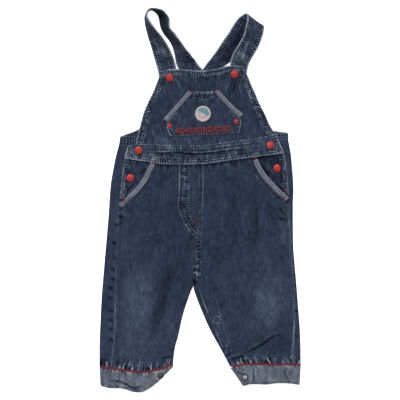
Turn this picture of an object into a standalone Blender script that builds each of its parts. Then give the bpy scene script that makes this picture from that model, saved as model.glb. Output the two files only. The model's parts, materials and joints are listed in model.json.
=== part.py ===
"""Denim baby dungarees, buttoned up and laid flat on their back.

Each piece that is cut and sewn is a closed wall of cloth of its own. The back
lies on z = 0 and its sides roll round on to the front, where the front legs,
the hip facings, the waistband and the bib lie over it, layer on layer. Tables
and heights are in millimetres, +Y to the shoulders and +Z up from the surface.
Left and right are as seen from the front: left is -X.
"""

import math

import bmesh
import bpy
import numpy as np

MM = 0.001

# Cloth and seams
CLOTH = 1.0
SEAM = 0.5
LIFT = 0.3
ROLL = 1.4
BAND = 2.3
STRAP_WIDTH = 28.5
STRAP_THICK = 2.2
BINDING_WIDTH = 7.0
BINDING_THICK = 1.5
CUFF_WALL = 1.4
PIPING = 2.4
CAP_RADIUS = 5.8
CAP_HEIGHT = 2.4
STUD_RADIUS = 3.3
STUD_HEIGHT = 1.3
RING_RADIUS = 4.3
RING_SIZE = 1.3
BADGE_RADIUS = 12.0
BADGE_THICK = 1.0
ROLL_STEPS = 3
STRAP_STEPS = 44

# The front waistband's sunk line: depth, shares down the band, ends and fade along x
GROOVE_DEPTH = 0.9
GROOVE_SHARE = 0.42
GROOVE_WIDTH = 0.12
GROOVE_ENDS = (-78.0, 80.0)
GROOVE_FADE = 10.0

# Cuffs and piping stand proud of the leg's hem
PIPING_RISE = 0.5
PIPING_WALL = 1.3
PIPING_LEAST = 3.3
CUFF_RISE = 0.9
CUFF_SWELL = 0.9
CUFF_SWELL_LENGTH = 10.0
CUFF_LEAST = 3.6

# Levels of the layers' undersides
ON_BACK = CLOTH + LIFT
ON_ROLL = 2 * ROLL + LIFT
ON_FACING = ON_ROLL + CLOTH + LIFT


def columns(names, *rows):
    """A short table as a dictionary, with one named column for each word."""
    return dict(zip(names.split(), np.array(rows, float).T))


# Each side: where the silhouette runs, and how far the rolled back reaches over
LEFT_SIDE = columns(
    "y outline reach",
    (100, -119.5, -97),
    (82, -121.8, -98),
    (75, -124, -98),
    (57, -128.5, -99),
    (39, -131.5, -102),
    (21, -134.5, -107),
    (3, -135.8, -118),
    (-12, -136.6, -122),
    (-60, -140.5, -123),
    (-114, -145.2, -124.3),
    (-150, -148, -125.5),
    (-186, -149.7, -127.5),
    (-222, -151, -130.5),
    (-255, -151, -134.5),
)
RIGHT_SIDE = columns(
    "y outline reach",
    (102, 132.5, 112),
    (86, 133, 112),
    (75, 136, 112),
    (57, 137.7, 113),
    (39, 139, 114),
    (21, 140.6, 117),
    (8, 140.2, 128),
    (-2, 139.5, 131.5),
    (-60, 139.7, 135.8),
    (-114, 143.8, 139.6),
    (-150, 146.6, 141.3),
    (-195, 150, 142.2),
    (-222, 151, 140.4),
    (-240, 151, 139.6),
    (-255, 151, 140.5),
)

# The centre seam down to the crotch, then each leg's inner side
CROTCH = (-11.0, -130.5)
SEAM_BEND = -97.0
CENTRE_SEAM = columns(
    "y x",
    (70, 5.7),
    (0, 5.2),
    (-30, 3.7),
    (-60, 2.4),
    (-97, 2.0),
    (-108, 3.2),
    (-116, 0.0),
    (-126, -5.0),
    (-130.5, -11.0),
)
BACK_SEAM = columns(
    "y x",
    (100, 4),
    (-90, 3),
    (-115, -2),
    (-130.5, -11),
)
LEFT_INSIDE = columns(
    "y x",
    (-130.5, -11.4),
    (-150, -18.5),
    (-168, -24.5),
    (-186, -29),
    (-204, -32.5),
    (-222, -38),
    (-240, -40),
    (-255, -42),
)
RIGHT_INSIDE = columns(
    "y x",
    (-130.5, -10.6),
    (-150, -4),
    (-168, 3.5),
    (-186, 11),
    (-204, 20),
    (-222, 30.5),
    (-240, 40),
    (-255, 50),
)

# Lines across: back waistband, front waistband, hems and the cuffs' lower edges
BACK_BAND_TOP = columns("x y", (-125, 94.5), (0, 97), (140, 99.5))
BACK_BAND_FOOT = columns("x y", (-125, 82), (0, 83.5), (140, 86))
BAND_TOP = columns(
    "x y",
    (-113, 77.5),
    (-108, 79.5),
    (-96, 83.3),
    (-75, 82.5),
    (-37, 81),
    (4, 80.8),
    (28, 84.5),
    (55, 87.5),
    (82, 91),
    (100, 94.5),
    (113.5, 99),
)
BAND_FOOT = columns(
    "x y",
    (-113, 63),
    (-100, 60.5),
    (-77, 57.3),
    (-60, 54),
    (-37, 53.5),
    (4, 54),
    (27, 57),
    (54, 61),
    (82, 64.8),
    (107, 67.8),
    (124.5, 70.5),
)
BAND_ENDS = columns(
    "y left right",
    (60, -114, 129),
    (80, -107.8, 121.5),
    (99, -102, 113.5),
)
LEFT_CUFF_TOP = columns(
    "x y",
    (-152, -252),
    (-135, -253.5),
    (-121, -255.8),
    (-108, -257.5),
    (-94, -258.8),
    (-84, -259.5),
    (-74, -258),
    (-63, -256),
    (-53, -253),
    (-46, -249.7),
    (-40, -246),
)
LEFT_CUFF_FOOT = columns(
    "x y",
    (-152, -276.5),
    (-144, -280.5),
    (-135, -282.2),
    (-121, -282.2),
    (-118, -281),
    (-108, -285.5),
    (-94.5, -288.3),
    (-84, -288),
    (-74, -281),
    (-63.5, -273.5),
    (-53, -262.5),
    (-46.5, -256),
    (-40, -249.6),
)
RIGHT_CUFF_TOP = columns(
    "x y",
    (44, -252.8),
    (60, -249),
    (73.5, -247.2),
    (103.5, -248),
    (152, -248.2),
)
RIGHT_CUFF_FOOT = columns(
    "x y",
    (62, -279.5),
    (66, -279),
    (69, -277),
    (81, -276),
    (101, -276.6),
    (115, -274.6),
    (128, -274.6),
    (152, -277.6),
)
LEFT_CUFF_SIDES = columns(
    "y left right",
    (-245, -151.3, -40),
    (-258, -150.2, -40),
    (-267, -148.6, -40),
    (-275, -149.4, -40),
    (-290, -149.5, -40),
)
RIGHT_CUFF_SIDES = columns(
    "y left right",
    (-248, 45.5, 151),
    (-261, 55, 151.2),
    (-270.5, 59.5, 150.6),
    (-279, 64.5, 149),
)

# Front legs: heights of the underside at the outer and inner edge, and the air between
LEG_HEIGHTS = columns(
    "y outer inner air",
    (65, 4.4, 4.4, 0.3),
    (20, 4.4, 3.8, 1.4),
    (0, 4.4, 3.2, 2.2),
    (-12, 3.3, 3.0, 2.6),
    (-24, 1.8, 2.8, 3.0),
    (-100, 1.8, 2.2, 3.6),
    (-131, 1.8, 1.4, 3.5),
    (-200, 1.8, 1.3, 2.9),
    (-240, 1.8, 1.3, 1.9),
    (-260, 1.8, 1.3, 1.7),
)
LEG_FOLDS = columns(
    "x0 y0 x1 y1 width depth",
    (60, -230, 122, -200, 8, 1.7),
    (-58, -239, -41, -235, 6, 1.0),
    (96, -170, 118, -130, 16, -0.8),
    (-100, -185, -92, -140, 16, -0.8),
    (-60, 20, -72, -30, 14, 0.7),
    (60, 20, 70, -40, 15, 0.7),
)

# Hip facings with their fastening edge, and the bindings of the hip pockets
LEFT_FACING = columns(
    "y edge",
    (70, -111),
    (62, -112.5),
    (42, -115.5),
    (12, -119),
    (0, -120.5),
)
RIGHT_FACING = columns(
    "y edge",
    (75, 124),
    (62, 127),
    (46, 130),
    (25, 131.8),
    (2, 133.2),
)
LEFT_HIP_BINDING = columns(
    "x y low",
    (-70.6, 52.2, 4.4),
    (-81.7, 34.5, 4.4),
    (-91.2, 21.4, 4.4),
    (-98.4, 12.2, 4.4),
    (-109.3, 0.6, 4.4),
    (-119.6, -9.6, 3.2),
)
RIGHT_HIP_BINDING = columns(
    "x y low",
    (82.4, 60.0, 4.4),
    (85.0, 53.5, 4.4),
    (90.9, 42.5, 4.4),
    (98.9, 31.5, 4.4),
    (108.3, 21.8, 4.4),
    (118.8, 10.8, 4.4),
    (124.6, 5.8, 4.4),
    (130.6, 0.6, 3.8),
)
FACING_UNDER = 6.0
FACING_TUCK = 3.0
LEFT_FACING_FOOT = 2.6
RIGHT_FACING_FOOT = 7.5

# The bib and what is sewn on it
BIB_TOP = columns(
    "x y",
    (-64, 189),
    (-58, 194.5),
    (-50, 196.2),
    (-34.5, 196.5),
    (0, 193.8),
    (22.5, 196),
    (40.5, 201),
    (51, 202),
    (62, 200.3),
    (70, 193),
)
BIB_SIDES = columns(
    "y left right",
    (201, -57, 61),
    (196, -58.5, 66.5),
    (190, -61.5, 69.5),
    (183, -61.2, 73),
    (174, -65.5, 76),
    (165, -68.5, 80.5),
    (147, -77.5, 88),
    (129, -85, 97),
    (111, -89.6, 105),
    (99, -92.6, 112.7),
    (84, -96, 116),
)
BIB_HEIGHTS = columns(
    "y edge air",
    (205, 3.4, 0.5),
    (180, 2.8, 0.9),
    (162, 2.0, 1.6),
    (125, 2.2, 2.0),
    (100, 3.6, 1.3),
    (80, 4.5, 0.5),
)
POCKET_TOP = columns("x y", (-16, 162.5), (6, 162.2), (26, 164))
POCKET_FOOT = columns("x y", (-53, 95.8), (0, 97), (63, 101.2))
POCKET_SIDES = columns(
    "y left right",
    (164, -7, 18.2),
    (150, -19.4, 31.2),
    (138, -30, 42.6),
    (130, -37.2, 52),
    (123.6, -42.8, 59.2),
    (120.6, -45.4, 61.8),
    (117, -48.4, 61.8),
    (114, -51, 61.4),
    (96, -44.5, 58),
)
LEFT_BIB_BINDING = columns("x y", (-14.6, 161.8), (-34, 140), (-52.2, 119.6))
RIGHT_BIB_BINDING = columns("x y", (24.6, 163), (45.6, 141), (62.6, 126.4))
BADGE_AT = (4.5, 129.0)

# The back above its waistband rises to the point where the straps start
BACK_BIB_ENDS = (-118.6, 130.6)
BACK_BIB_TOP = columns(
    "x y",
    (-119, 95.6),
    (-88, 108),
    (-62, 128),
    (-38, 152),
    (-23, 173),
    (-13, 179.5),
    (0.5, 190.5),
    (5, 191.5),
    (28, 175.6),
    (46, 150),
    (74, 126),
    (110, 103.5),
    (131, 100.6),
)

# Straps: the first edge's route, the plan direction across, and the lean of the width
LEFT_STRAP = columns(
    "x y lean",
    (-56.5, 170, 0),
    (-61.6, 186, 0),
    (-63.5, 196, 0),
    (-67.6, 212, 16),
    (-71.8, 228, 30),
    (-76.2, 243, 47),
    (-79.2, 255, 62),
    (-81.4, 266, 73),
    (-82.0, 275, 83),
    (-79.4, 282.5, 87),
    (-73.4, 287.0, 90),
    (-67.0, 284.4, 97),
    (-62.8, 277.5, 112),
    (-60.0, 268, 118),
    (-58.2, 259, 118),
    (-53.0, 248.5, 116),
    (-45.6, 239.6, 120),
    (-40.0, 227.6, 125),
    (-37.4, 214, 142),
    (-35.2, 202.5, 168),
    (-29.4, 191, 180),
    (-19.5, 178.8, 180),
)
RIGHT_STRAP = columns(
    "x y z turn lean",
    (31.4, 179, 1.15, -25, 0),
    (38.0, 193, 1.15, -25, 0),
    (42.6, 203, 1.3, -25, 0),
    (46.2, 211, 3.4, -26, -4),
    (50.2, 221.5, 7.2, -29, -9),
    (56.4, 231.5, 10.2, -30, -13),
    (64.0, 245.5, 12.0, -20, -15),
    (68.6, 260.5, 13.2, -14, -14),
    (70.6, 271.5, 13.4, -20, -12),
    (70.8, 278.4, 11.6, -31, -8),
    (69.2, 281.2, 8.0, -37, -4),
    (66.0, 279.6, 4.6, -37, -2),
    (60.0, 274.8, 3.0, -36, -2),
    (52.6, 265.2, 4.2, -35, -6),
    (44.4, 251.6, 7.2, -35, -12),
    (33.6, 236.4, 9.9, -35, -18),
    (24.2, 222.4, 9.0, -36, -16),
    (17.6, 213, 5.1, -37, -8),
    (10.4, 204, 2.7, -37, -3),
    (5.0, 196.8, 1.15, -37, 0),
)

# Press fasteners: place of each cap
CAPS = columns(
    "x y",
    (-45.6, 183.2),
    (51.8, 188.4),
    (-92.0, 74.6),
    (105.4, 82.2),
    (-104.4, 33.2),
    (115.6, 47.6),
)
CAP_NAMES = (
    "snap_bib_left",
    "snap_bib_right",
    "snap_waist_left",
    "snap_waist_right",
    "snap_hip_left",
    "snap_hip_right",
)
STUDS = columns("x y", (-45.2, 111.2), (54.2, 117.6))

# Ring fasteners on the cuffs, left and right
RINGS = columns("x y", (-59.0, -263.0), (67.5, -265.5))

# Colours of the finishes
DENIM = (0.035, 0.05, 0.095)
CUFF_GREY = (0.18, 0.19, 0.24)
RED = (0.55, 0.03, 0.025)
CRIMSON = (0.25, 0.01, 0.03)
STEEL = (0.45, 0.46, 0.5)
CREAM = (0.72, 0.66, 0.6)


def hermite(at, stations, values, slopes):
    """The curve through the values with the given slopes, held at both ends."""
    step = np.diff(stations)
    i = np.clip(np.searchsorted(stations, at, side="right") - 1, 0, len(step) - 1)
    t = np.clip((at - stations[i]) / step[i], 0, 1)
    start = (1 + 2 * t) * (1 - t) ** 2 * values[i] + t * (1 - t) ** 2 * step[i] * slopes[i]
    end = t * t * (3 - 2 * t) * values[i + 1] - t * t * (1 - t) * step[i] * slopes[i + 1]
    return start + end


def steady(at, stations, values):
    """A smooth reading of a table that never overshoots its rows."""
    order = np.argsort(stations)
    stations, values = stations[order], values[order]
    run = np.diff(values) / np.diff(stations)
    slopes = np.concatenate([run[:1], np.zeros(len(run) - 1), run[-1:]])
    same = run[:-1] * run[1:] > 0
    slopes[1:-1][same] = 2 / (1 / run[:-1][same] + 1 / run[1:][same])
    return hermite(np.asarray(at, float), stations, values, slopes)


def flowing(at, stations, values):
    """A round curve through the rows, for a route that loops."""
    return hermite(at, stations, values, np.gradient(values, stations))


def read(table, column, at):
    """A column of a table that starts with its y or x stations."""
    return steady(at, next(iter(table.values())), table[column])


def finish(name, colour, roughness=0.9, metallic=0.0):
    """A plain Principled material."""
    material = bpy.data.materials.get(name) or bpy.data.materials.new(name)
    material.use_nodes = True
    shader = material.node_tree.nodes["Principled BSDF"]
    shader.inputs["Base Color"].default_value = (*colour, 1)
    shader.inputs["Roughness"].default_value = roughness
    shader.inputs["Metallic"].default_value = metallic
    return material


def wall(name, outer, inner, material, ring=False):
    """A closed wall between two matching grids of points; a ring joins up along its rows."""
    rows, cols, _ = outer.shape
    count = rows * cols
    mesh = bpy.data.meshes.new(name)
    edges = [(j, (j + 1) % cols) for j in range(cols if ring else cols - 1)]
    faces = []
    for i in range(rows - 1):
        for j, k in edges:
            a, b, c, d = i * cols + j, (i + 1) * cols + j, (i + 1) * cols + k, i * cols + k
            faces += [(a, b, c, d), (d + count, c + count, b + count, a + count)]
        if not ring:
            for j, flip in ((0, False), (cols - 1, True)):
                a, b = i * cols + j, (i + 1) * cols + j
                side = (a, a + count, b + count, b)
                faces.append(side[::-1] if flip else side)
    for i, flip in ((0, True), (rows - 1, False)):
        for j, k in edges:
            a, b = i * cols + j, i * cols + k
            side = (a, a + count, b + count, b)
            faces.append(side[::-1] if flip else side)
    points = np.concatenate([outer.reshape(-1, 3), inner.reshape(-1, 3)]) * MM
    mesh.from_pydata(points.tolist(), [], faces)
    shape = bmesh.new()
    shape.from_mesh(mesh)
    bmesh.ops.recalc_face_normals(shape, faces=shape.faces)
    shape.to_mesh(mesh)
    shape.free()
    mesh.shade_smooth()
    mesh.set_sharp_from_angle(angle=math.radians(50))
    mesh.materials.append(material)
    piece = bpy.data.objects.new(name, mesh)
    bpy.context.scene.collection.objects.link(piece)
    return piece


def folds(x, y, table):
    """Soft troughs (and, with a negative depth, ridges) along straight lines."""
    sunk = np.zeros_like(x)
    for x0, y0, x1, y1, width, depth in zip(*table.values()):
        along = np.array([x1 - x0, y1 - y0])
        length = np.hypot(*along)
        along /= length
        s = (x - x0) * along[0] + (y - y0) * along[1]
        across = (x - x0) * along[1] - (y - y0) * along[0]
        past = np.maximum(0, np.abs(s / length - 0.5) - 0.5) * length
        sunk += depth * np.exp(-(np.hypot(across, past) / width) ** 2)
    return sunk


def meet(top, foot, edge, share):
    """Where an edge x(y) meets the row that lies a share of the way from the top line to the foot."""
    x = edge(top(0.0))
    for _ in range(12):
        x = 0.5 * x + 0.5 * edge(top(x) * (1 - share) + foot(x) * share)
    return x


class Panel:
    """A flat-lying piece between two sides x(y) and two lines y(x), with the height of its underside."""

    def __init__(self, left, right, top, foot, low, thick=CLOTH):
        self.left, self.right, self.top, self.foot = left, right, top, foot
        self.low, self.thick = low, thick

    def plan(self, shares, cols):
        """The grid of x and y, a row for each share of the way down."""
        u = np.linspace(0, 1, cols)
        rows = []
        for v in shares:
            left = meet(self.top, self.foot, self.left, v)
            right = meet(self.top, self.foot, self.right, v)
            rows.append(left * (1 - u) + right * u)
        x = np.array(rows)
        down = shares[:, None]
        return x, self.top(x) * (1 - down) + self.foot(x) * down

    def build(self, name, shares, cols, material):
        """The closed piece."""
        x, y = self.plan(shares, cols)
        low = self.low(x, y)
        return wall(name, np.stack([x, y, low + self.thick], -1), np.stack([x, y, low], -1), material)

    def over(self, x, y):
        """The underside of what lies on this panel."""
        return self.low(x, y) + self.thick + LIFT


def even(rows):
    """Shares of the way down, evenly spaced."""
    return np.linspace(0, 1, rows)


def rows_through(top, foot, stops, last):
    """Shares of the way down whose rows pass the given places: (x, y, rows to there) each, then the foot."""
    shares = [0.0]
    for x, y, count in stops:
        end = float((top(x) - y) / (top(x) - foot(x)))
        shares.extend(np.linspace(shares[-1], end, count + 1)[1:])
    shares.extend(np.linspace(shares[-1], 1.0, last + 1)[1:])
    return np.array(shares)


def line(table, lift=0.0):
    """A line across the garment as a function y(x)."""
    return lambda x: read(table, "y", x) + lift


def side(table, column="x", shift=0.0):
    """A side as a function x(y)."""
    return lambda y: read(table, column, y) + shift


def flat(value):
    """A straight line across, or an upright side."""
    return lambda at: np.zeros_like(at) + value


def level(height):
    """A flat underside."""
    return lambda x, y: np.full_like(x, height)


def roll_section(start, outline, reach, under, over):
    """Across a rolled side: x and z of the outer and of the inner face, from start round to reach."""
    sign = math.copysign(1, outline - start)
    centre = outline - sign * ROLL
    angle = np.linspace(-math.pi / 2, math.pi / 2, ROLL_STEPS + 1)
    below = np.linspace(start, centre, under + 1)[:-1]
    above = np.linspace(centre, reach, over + 1)[1:]
    faces = []
    for radius in (ROLL, ROLL - CLOTH):
        faces.append(np.concatenate([below, centre + sign * radius * np.cos(angle), above]))
        faces.append(np.concatenate([0 * below - radius, radius * np.sin(angle), 0 * above + radius]) + ROLL)
    return faces


def rolled_panel(name, start, sides, top, foot, shares, material):
    """A back leg: flat from its inner edge out, rolled round the side on to the front."""
    outer, inner = [], []
    for v in shares:
        ends = [meet(top, foot, edge, v) for edge in (start, side(sides, "outline"), side(sides, "reach"))]
        x, z, x_in, z_in = roll_section(*ends, under=8, over=1)
        outer.append(np.stack([x, top(x) * (1 - v) + foot(x) * v, z], -1))
        inner.append(np.stack([x_in, top(x_in) * (1 - v) + foot(x_in) * v, z_in], -1))
    return wall(name, np.array(outer), np.array(inner), material)


def back_waistband(material):
    """The back waistband, rolled round at both ends."""
    top, foot = line(BACK_BAND_TOP), line(BACK_BAND_FOOT)
    middle = float(BACK_SEAM["x"][0])
    outer, inner = [], []
    for v in even(3):
        halves = []
        for sides in (LEFT_SIDE, RIGHT_SIDE):
            ends = [meet(top, foot, side(sides, column), v) for column in ("outline", "reach")]
            halves.append(roll_section(middle, *ends, under=3, over=1))
        x, z, x_in, z_in = (np.concatenate([a[::-1], b[1:]]) for a, b in zip(*halves))
        outer.append(np.stack([x, top(x) * (1 - v) + foot(x) * v, z], -1))
        inner.append(np.stack([x_in, top(x_in) * (1 - v) + foot(x_in) * v, z_in], -1))
    return wall("back_waistband", np.array(outer), np.array(inner), material)


def flat_tube(name, sides, top, foot, height, thick, rows, cols, material):
    """A tube pressed flat: its back on z = 0, its front at the given height, its sides round."""
    angle = np.linspace(-math.pi / 2, math.pi / 2, 5)[1:-1]
    outer, inner = [], []
    for v in even(rows):
        ends = [meet(top, foot, side(sides, column), v) for column in ("left", "right")]
        rise = [height(np.array(x), top(x) * (1 - v) + foot(x) * v) / 2 for x in ends]
        run = np.linspace(ends[0] + rise[0], ends[1] - rise[1], cols)
        for grid, skin in ((outer, 0.0), (inner, thick)):
            right = run[-1] + (rise[1] - skin) * np.cos(angle)
            left = run[0] - (rise[0] - skin) * np.cos(angle)
            x = np.concatenate([run, right, run[::-1], left])
            y = top(x) * (1 - v) + foot(x) * v
            front = height(run[::-1], y[cols + len(angle):2 * cols + len(angle)]) - skin
            z_right = rise[1] + (rise[1] - skin) * np.sin(angle)
            z_left = rise[0] - (rise[0] - skin) * np.sin(angle)
            grid.append(np.stack([x, y, np.concatenate([0 * run + skin, z_right, front, z_left])], -1))
    return wall(name, np.array(outer), np.array(inner), material, ring=True)


def route(table, pieces):
    """A table's stations along its route, evenly spaced ones, and x and y there on a round curve."""
    chord = np.hypot(np.diff(table["x"]), np.diff(table["y"]))
    if "z" in table:
        chord = np.hypot(chord, np.diff(table["z"]))
    stations = np.concatenate([[0], np.cumsum(chord)])
    at = np.linspace(0, stations[-1], pieces + 1)
    return stations, at, flowing(at, stations, table["x"]), flowing(at, stations, table["y"])


def tangents(x, y):
    """Unit directions along a route."""
    along = np.stack([np.gradient(x), np.gradient(y)], -1)
    return along / np.linalg.norm(along, axis=1)[:, None]


def strip(name, table, low, pieces, material):
    """A binding laid along a line, its underside at low(x, y), its middle a little proud."""
    _, _, x, y = route(table, pieces)
    along = tangents(x, y)
    offset = np.array([-0.5, 0.0, 0.5]) * BINDING_WIDTH
    px = x[:, None] + along[:, 1:] * offset
    py = y[:, None] - along[:, :1] * offset
    base = low(px, py)
    crown = np.array([0.75, 1.0, 0.75]) * BINDING_THICK
    return wall(name, np.stack([px, py, base + crown], -1), np.stack([px, py, base], -1), material)


def ribbon(name, edge, heading, lean, material):
    """A strap: a band along its first edge, across at a heading in plan and leaning up, in radians."""
    across = np.stack([np.cos(lean) * np.cos(heading), np.cos(lean) * np.sin(heading), np.sin(lean)], -1)
    face = np.cross(across, np.gradient(edge, axis=0))
    face /= np.linalg.norm(face, axis=1)[:, None]
    share = np.linspace(0, STRAP_WIDTH, 3)[None, :, None]
    middle = edge[:, None, :] + across[:, None, :] * share
    skin = face[:, None, :] * STRAP_THICK / 2
    return wall(name, middle + skin, middle - skin, material)


def left_strap(material):
    """The strap that stands on its edge round the top and leans over on both runs."""
    stations, at, x, y = route(LEFT_STRAP, STRAP_STEPS)
    lean = np.radians(steady(at, stations, LEFT_STRAP["lean"]))
    along = tangents(x, y)
    heading = np.arctan2(-along[:, 0], along[:, 1])
    edge = np.stack([x, y, np.abs(np.cos(lean)) * STRAP_THICK / 2], -1)
    return ribbon("strap_left", edge, heading, lean, material)


def right_strap(material):
    """The strap that folds over at the top, its front run lying on its back run."""
    stations, at, x, y = route(RIGHT_STRAP, STRAP_STEPS)
    z, turn, lean = (steady(at, stations, RIGHT_STRAP[name]) for name in ("z", "turn", "lean"))
    return ribbon("strap_right", np.stack([x, y, z], -1), np.radians(turn), np.radians(lean), material)


def turned(name, profile, x, y, z, material, sides=16):
    """A round piece turned from (radius, height) pairs, the first and last on its axis."""
    shape = bmesh.new()
    rings = []
    for radius, height in profile:
        if radius == 0:
            rings.append([shape.verts.new((0, 0, height * MM))])
            continue
        rings.append([
            shape.verts.new((radius * MM * math.cos(a), radius * MM * math.sin(a), height * MM))
            for a in np.linspace(0, math.tau, sides, endpoint=False)
        ])
    for low, high in zip(rings, rings[1:]):
        for i in range(sides):
            j = i + 1
            corners = low[i % len(low)], low[j % len(low)], high[j % len(high)], high[i % len(high)]
            shape.faces.new(dict.fromkeys(corners))
    bmesh.ops.recalc_face_normals(shape, faces=shape.faces)
    mesh = bpy.data.meshes.new(name)
    shape.to_mesh(mesh)
    shape.free()
    mesh.shade_smooth()
    mesh.set_sharp_from_angle(angle=math.radians(40))
    mesh.materials.append(material)
    piece = bpy.data.objects.new(name, mesh)
    piece.location = (x * MM, y * MM, z * MM)
    bpy.context.scene.collection.objects.link(piece)
    return piece


def seat(over, x, y, radius):
    """The lowest level at which a flat round piece clears what is under it."""
    angle = np.linspace(0, math.tau, 17)
    ring = over(x + radius * np.cos(angle), y + radius * np.sin(angle))
    return max(ring.max(), over(np.array(x), np.array(y)).max())


def cap_profile(radius, height):
    """A domed press-fastener cap with a rolled rim, from its flat foot up."""
    shares = columns("out up", (0, 0), (0.78, 0), (0.97, 0.16), (1, 0.36), (0.88, 0.66), (0.55, 0.92), (0, 1))
    return list(zip(shares["out"] * radius, shares["up"] * height))


def ring_profile(radius, height):
    """A ring fastener: a raised rim round a small domed stud."""
    shares = columns("out up", (0, 0), (0.9, 0), (1, 0.46), (0.84, 1), (0.6, 0.46), (0.4, 0.54), (0, 0.92))
    return list(zip(shares["out"] * radius, shares["up"] * height))


def badge_profile(radius, height):
    """A flat round patch with a thicker edge."""
    shares = columns("out up", (0, 0), (1, 0), (1, 0.7), (0.9, 1), (0, 0.9))
    return list(zip(shares["out"] * radius, shares["up"] * height))


class Leg:
    """One leg with its hip pocket and cuff; sign is -1 on the left and 1 on the right."""

    def __init__(self, name, sign, sides, inside, cuff, facing, facing_foot, binding):
        self.name, self.sign, self.sides, self.inside = name, sign, sides, inside
        self.cuff_top, self.cuff_foot, self.cuff_sides = cuff
        self.facing, self.facing_foot, self.binding = facing, facing_foot, binding
        self.hem = line(self.cuff_top, PIPING + 2.5 * SEAM)
        ends = ((-sign * 6, 8), (sign * 30, -3))
        self.pocket = self.pocket_edge(-sign * (BINDING_WIDTH / 2 + 1.4 * SEAM), ends)

    def pocket_edge(self, distance, ends):
        """The x(y) of the pocket's mouth beside its binding, drawn on at both ends by the given steps."""
        _, _, x, y = route(self.binding, 10)
        along = tangents(x, y)
        px = x - distance * along[:, 1]
        py = y + distance * along[:, 0]
        (first_x, first_y), (last_x, last_y) = ends
        px = np.concatenate([[px[0] + first_x], px, [px[-1] + last_x]])
        py = np.concatenate([[py[0] + first_y], py, [py[-1] + last_y]])
        return lambda at: np.interp(at, py[::-1], px[::-1])

    def inner(self, seam):
        """The centre seam down to the crotch and the inner leg below it, as a function x(y)."""
        def x(y):
            upper, lower = read(seam, "x", y), read(self.inside, "x", y)
            return np.where(np.asarray(y) > CROTCH[1], upper, lower) + self.sign * SEAM / 2
        return x

    def outer(self, y):
        """The front leg's outer side: along the rolled back, and along the pocket's mouth above."""
        roll = read(self.sides, "reach", y) - self.sign * SEAM
        return self.sign * np.minimum(self.sign * self.pocket(y), self.sign * roll)

    def low(self, x, y):
        """The front leg's underside, arched over the air in the leg, with its folds."""
        inner, outer = self.inner(CENTRE_SEAM)(y), self.outer(y)
        share = np.clip((x - outer) / (inner - outer), 0, 1)
        edge = read(LEG_HEIGHTS, "outer", y) * (1 - share) + read(LEG_HEIGHTS, "inner", y) * share
        arch = read(LEG_HEIGHTS, "air", y) * (1 - np.abs(2 * share - 1) ** 2.6)
        sunk = folds(x, y, LEG_FOLDS) * np.minimum(1, 6 * share * (1 - share))
        return np.maximum(edge + arch - sunk, ON_BACK)

    def hem_height(self, x, lift):
        """The leg's face just above the line that lies lift over the cuff's top edge."""
        return self.low(x, read(self.cuff_top, "y", x) + lift) + CLOTH

    def cuff_height(self, x, y):
        """The cuff's face, swelling a little below the piping."""
        drop = (read(self.cuff_top, "y", x) - y) / CUFF_SWELL_LENGTH
        return np.maximum(self.hem_height(x, PIPING) + CUFF_RISE + CUFF_SWELL * np.sin(drop), CUFF_LEAST)

    def piping_height(self, x, y):
        """The piping's face, a little above the hem."""
        return np.maximum(self.low(x, y) + CLOTH + PIPING_RISE, PIPING_LEAST)

    def build_back(self, denim):
        """The back of the leg, rolled round to the front."""
        top = line(BACK_BAND_FOOT, -SEAM)
        shares = rows_through(top, self.hem, [(*CROTCH, 12)], 10)
        rolled_panel("back_leg_" + self.name, self.inner(BACK_SEAM), self.sides, top, self.hem, shares, denim)

    def build_front(self, denim):
        """The front of the leg, from the waistband to the hem."""
        top = line(BAND_FOOT, -SEAM)
        edges = [self.outer, self.inner(CENTRE_SEAM)][::-self.sign]
        end_x, end_y = self.binding["x"][-1], self.binding["y"][-1]
        stops = [(end_x, end_y - 2.9, 6), (end_x, end_y - 5.4, 1), (0.0, SEAM_BEND, 5), (0.0, CROTCH[1], 4)]
        shares = rows_through(top, self.hem, stops, 9)
        Panel(*edges, top, self.hem, self.low).build("front_leg_" + self.name, shares, 9, denim)

    def facing_under(self, y):
        """The facing's inner edge, out of sight below the binding."""
        return np.interp(y, self.binding["y"][::-1], self.binding["x"][::-1]) - self.sign * FACING_UNDER

    def build_hip(self, denim, grey):
        """The hip pocket's facing and binding."""
        edges = [side(self.facing, "edge"), self.facing_under][::-self.sign]
        facing = Panel(*edges, line(BAND_FOOT, FACING_TUCK), flat(self.facing_foot), level(ON_ROLL))
        facing.build("hip_facing_" + self.name, even(7), 4, denim)
        strip("hip_binding_" + self.name, self.binding, self.binding_low, 10, grey)

    def binding_low(self, x, y):
        """The binding's underside, coming down on to the rolled side at its foot."""
        return steady(y, self.binding["y"], self.binding["low"])

    def build_cuff(self, grey, crimson, steel, ring):
        """The piping, the turned-up cuff and its ring fastener."""
        flat_tube("piping_" + self.name, self.cuff_sides, line(self.cuff_top, PIPING + SEAM),
                  line(self.cuff_top, SEAM), self.piping_height, PIPING_WALL, 2, 13, crimson)
        flat_tube("cuff_" + self.name, self.cuff_sides, line(self.cuff_top), line(self.cuff_foot),
                  self.cuff_height, CUFF_WALL, 5, 13, grey)
        x, y = ring
        z = seat(lambda x, y: self.cuff_height(x, y) + LIFT, x, y, RING_RADIUS)
        turned("cuff_snap_" + self.name, ring_profile(RING_RADIUS, RING_SIZE), x, y, z, steel)


def build_back_top(denim):
    """The back's waistband and the part above it."""
    back_waistband(denim)
    ends = [flat(x) for x in BACK_BIB_ENDS]
    top, foot = line(BACK_BIB_TOP), line(BACK_BAND_TOP, SEAM)
    Panel(*ends, top, foot, level(0.0)).build("back_bib", even(3), 21, denim)


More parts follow.
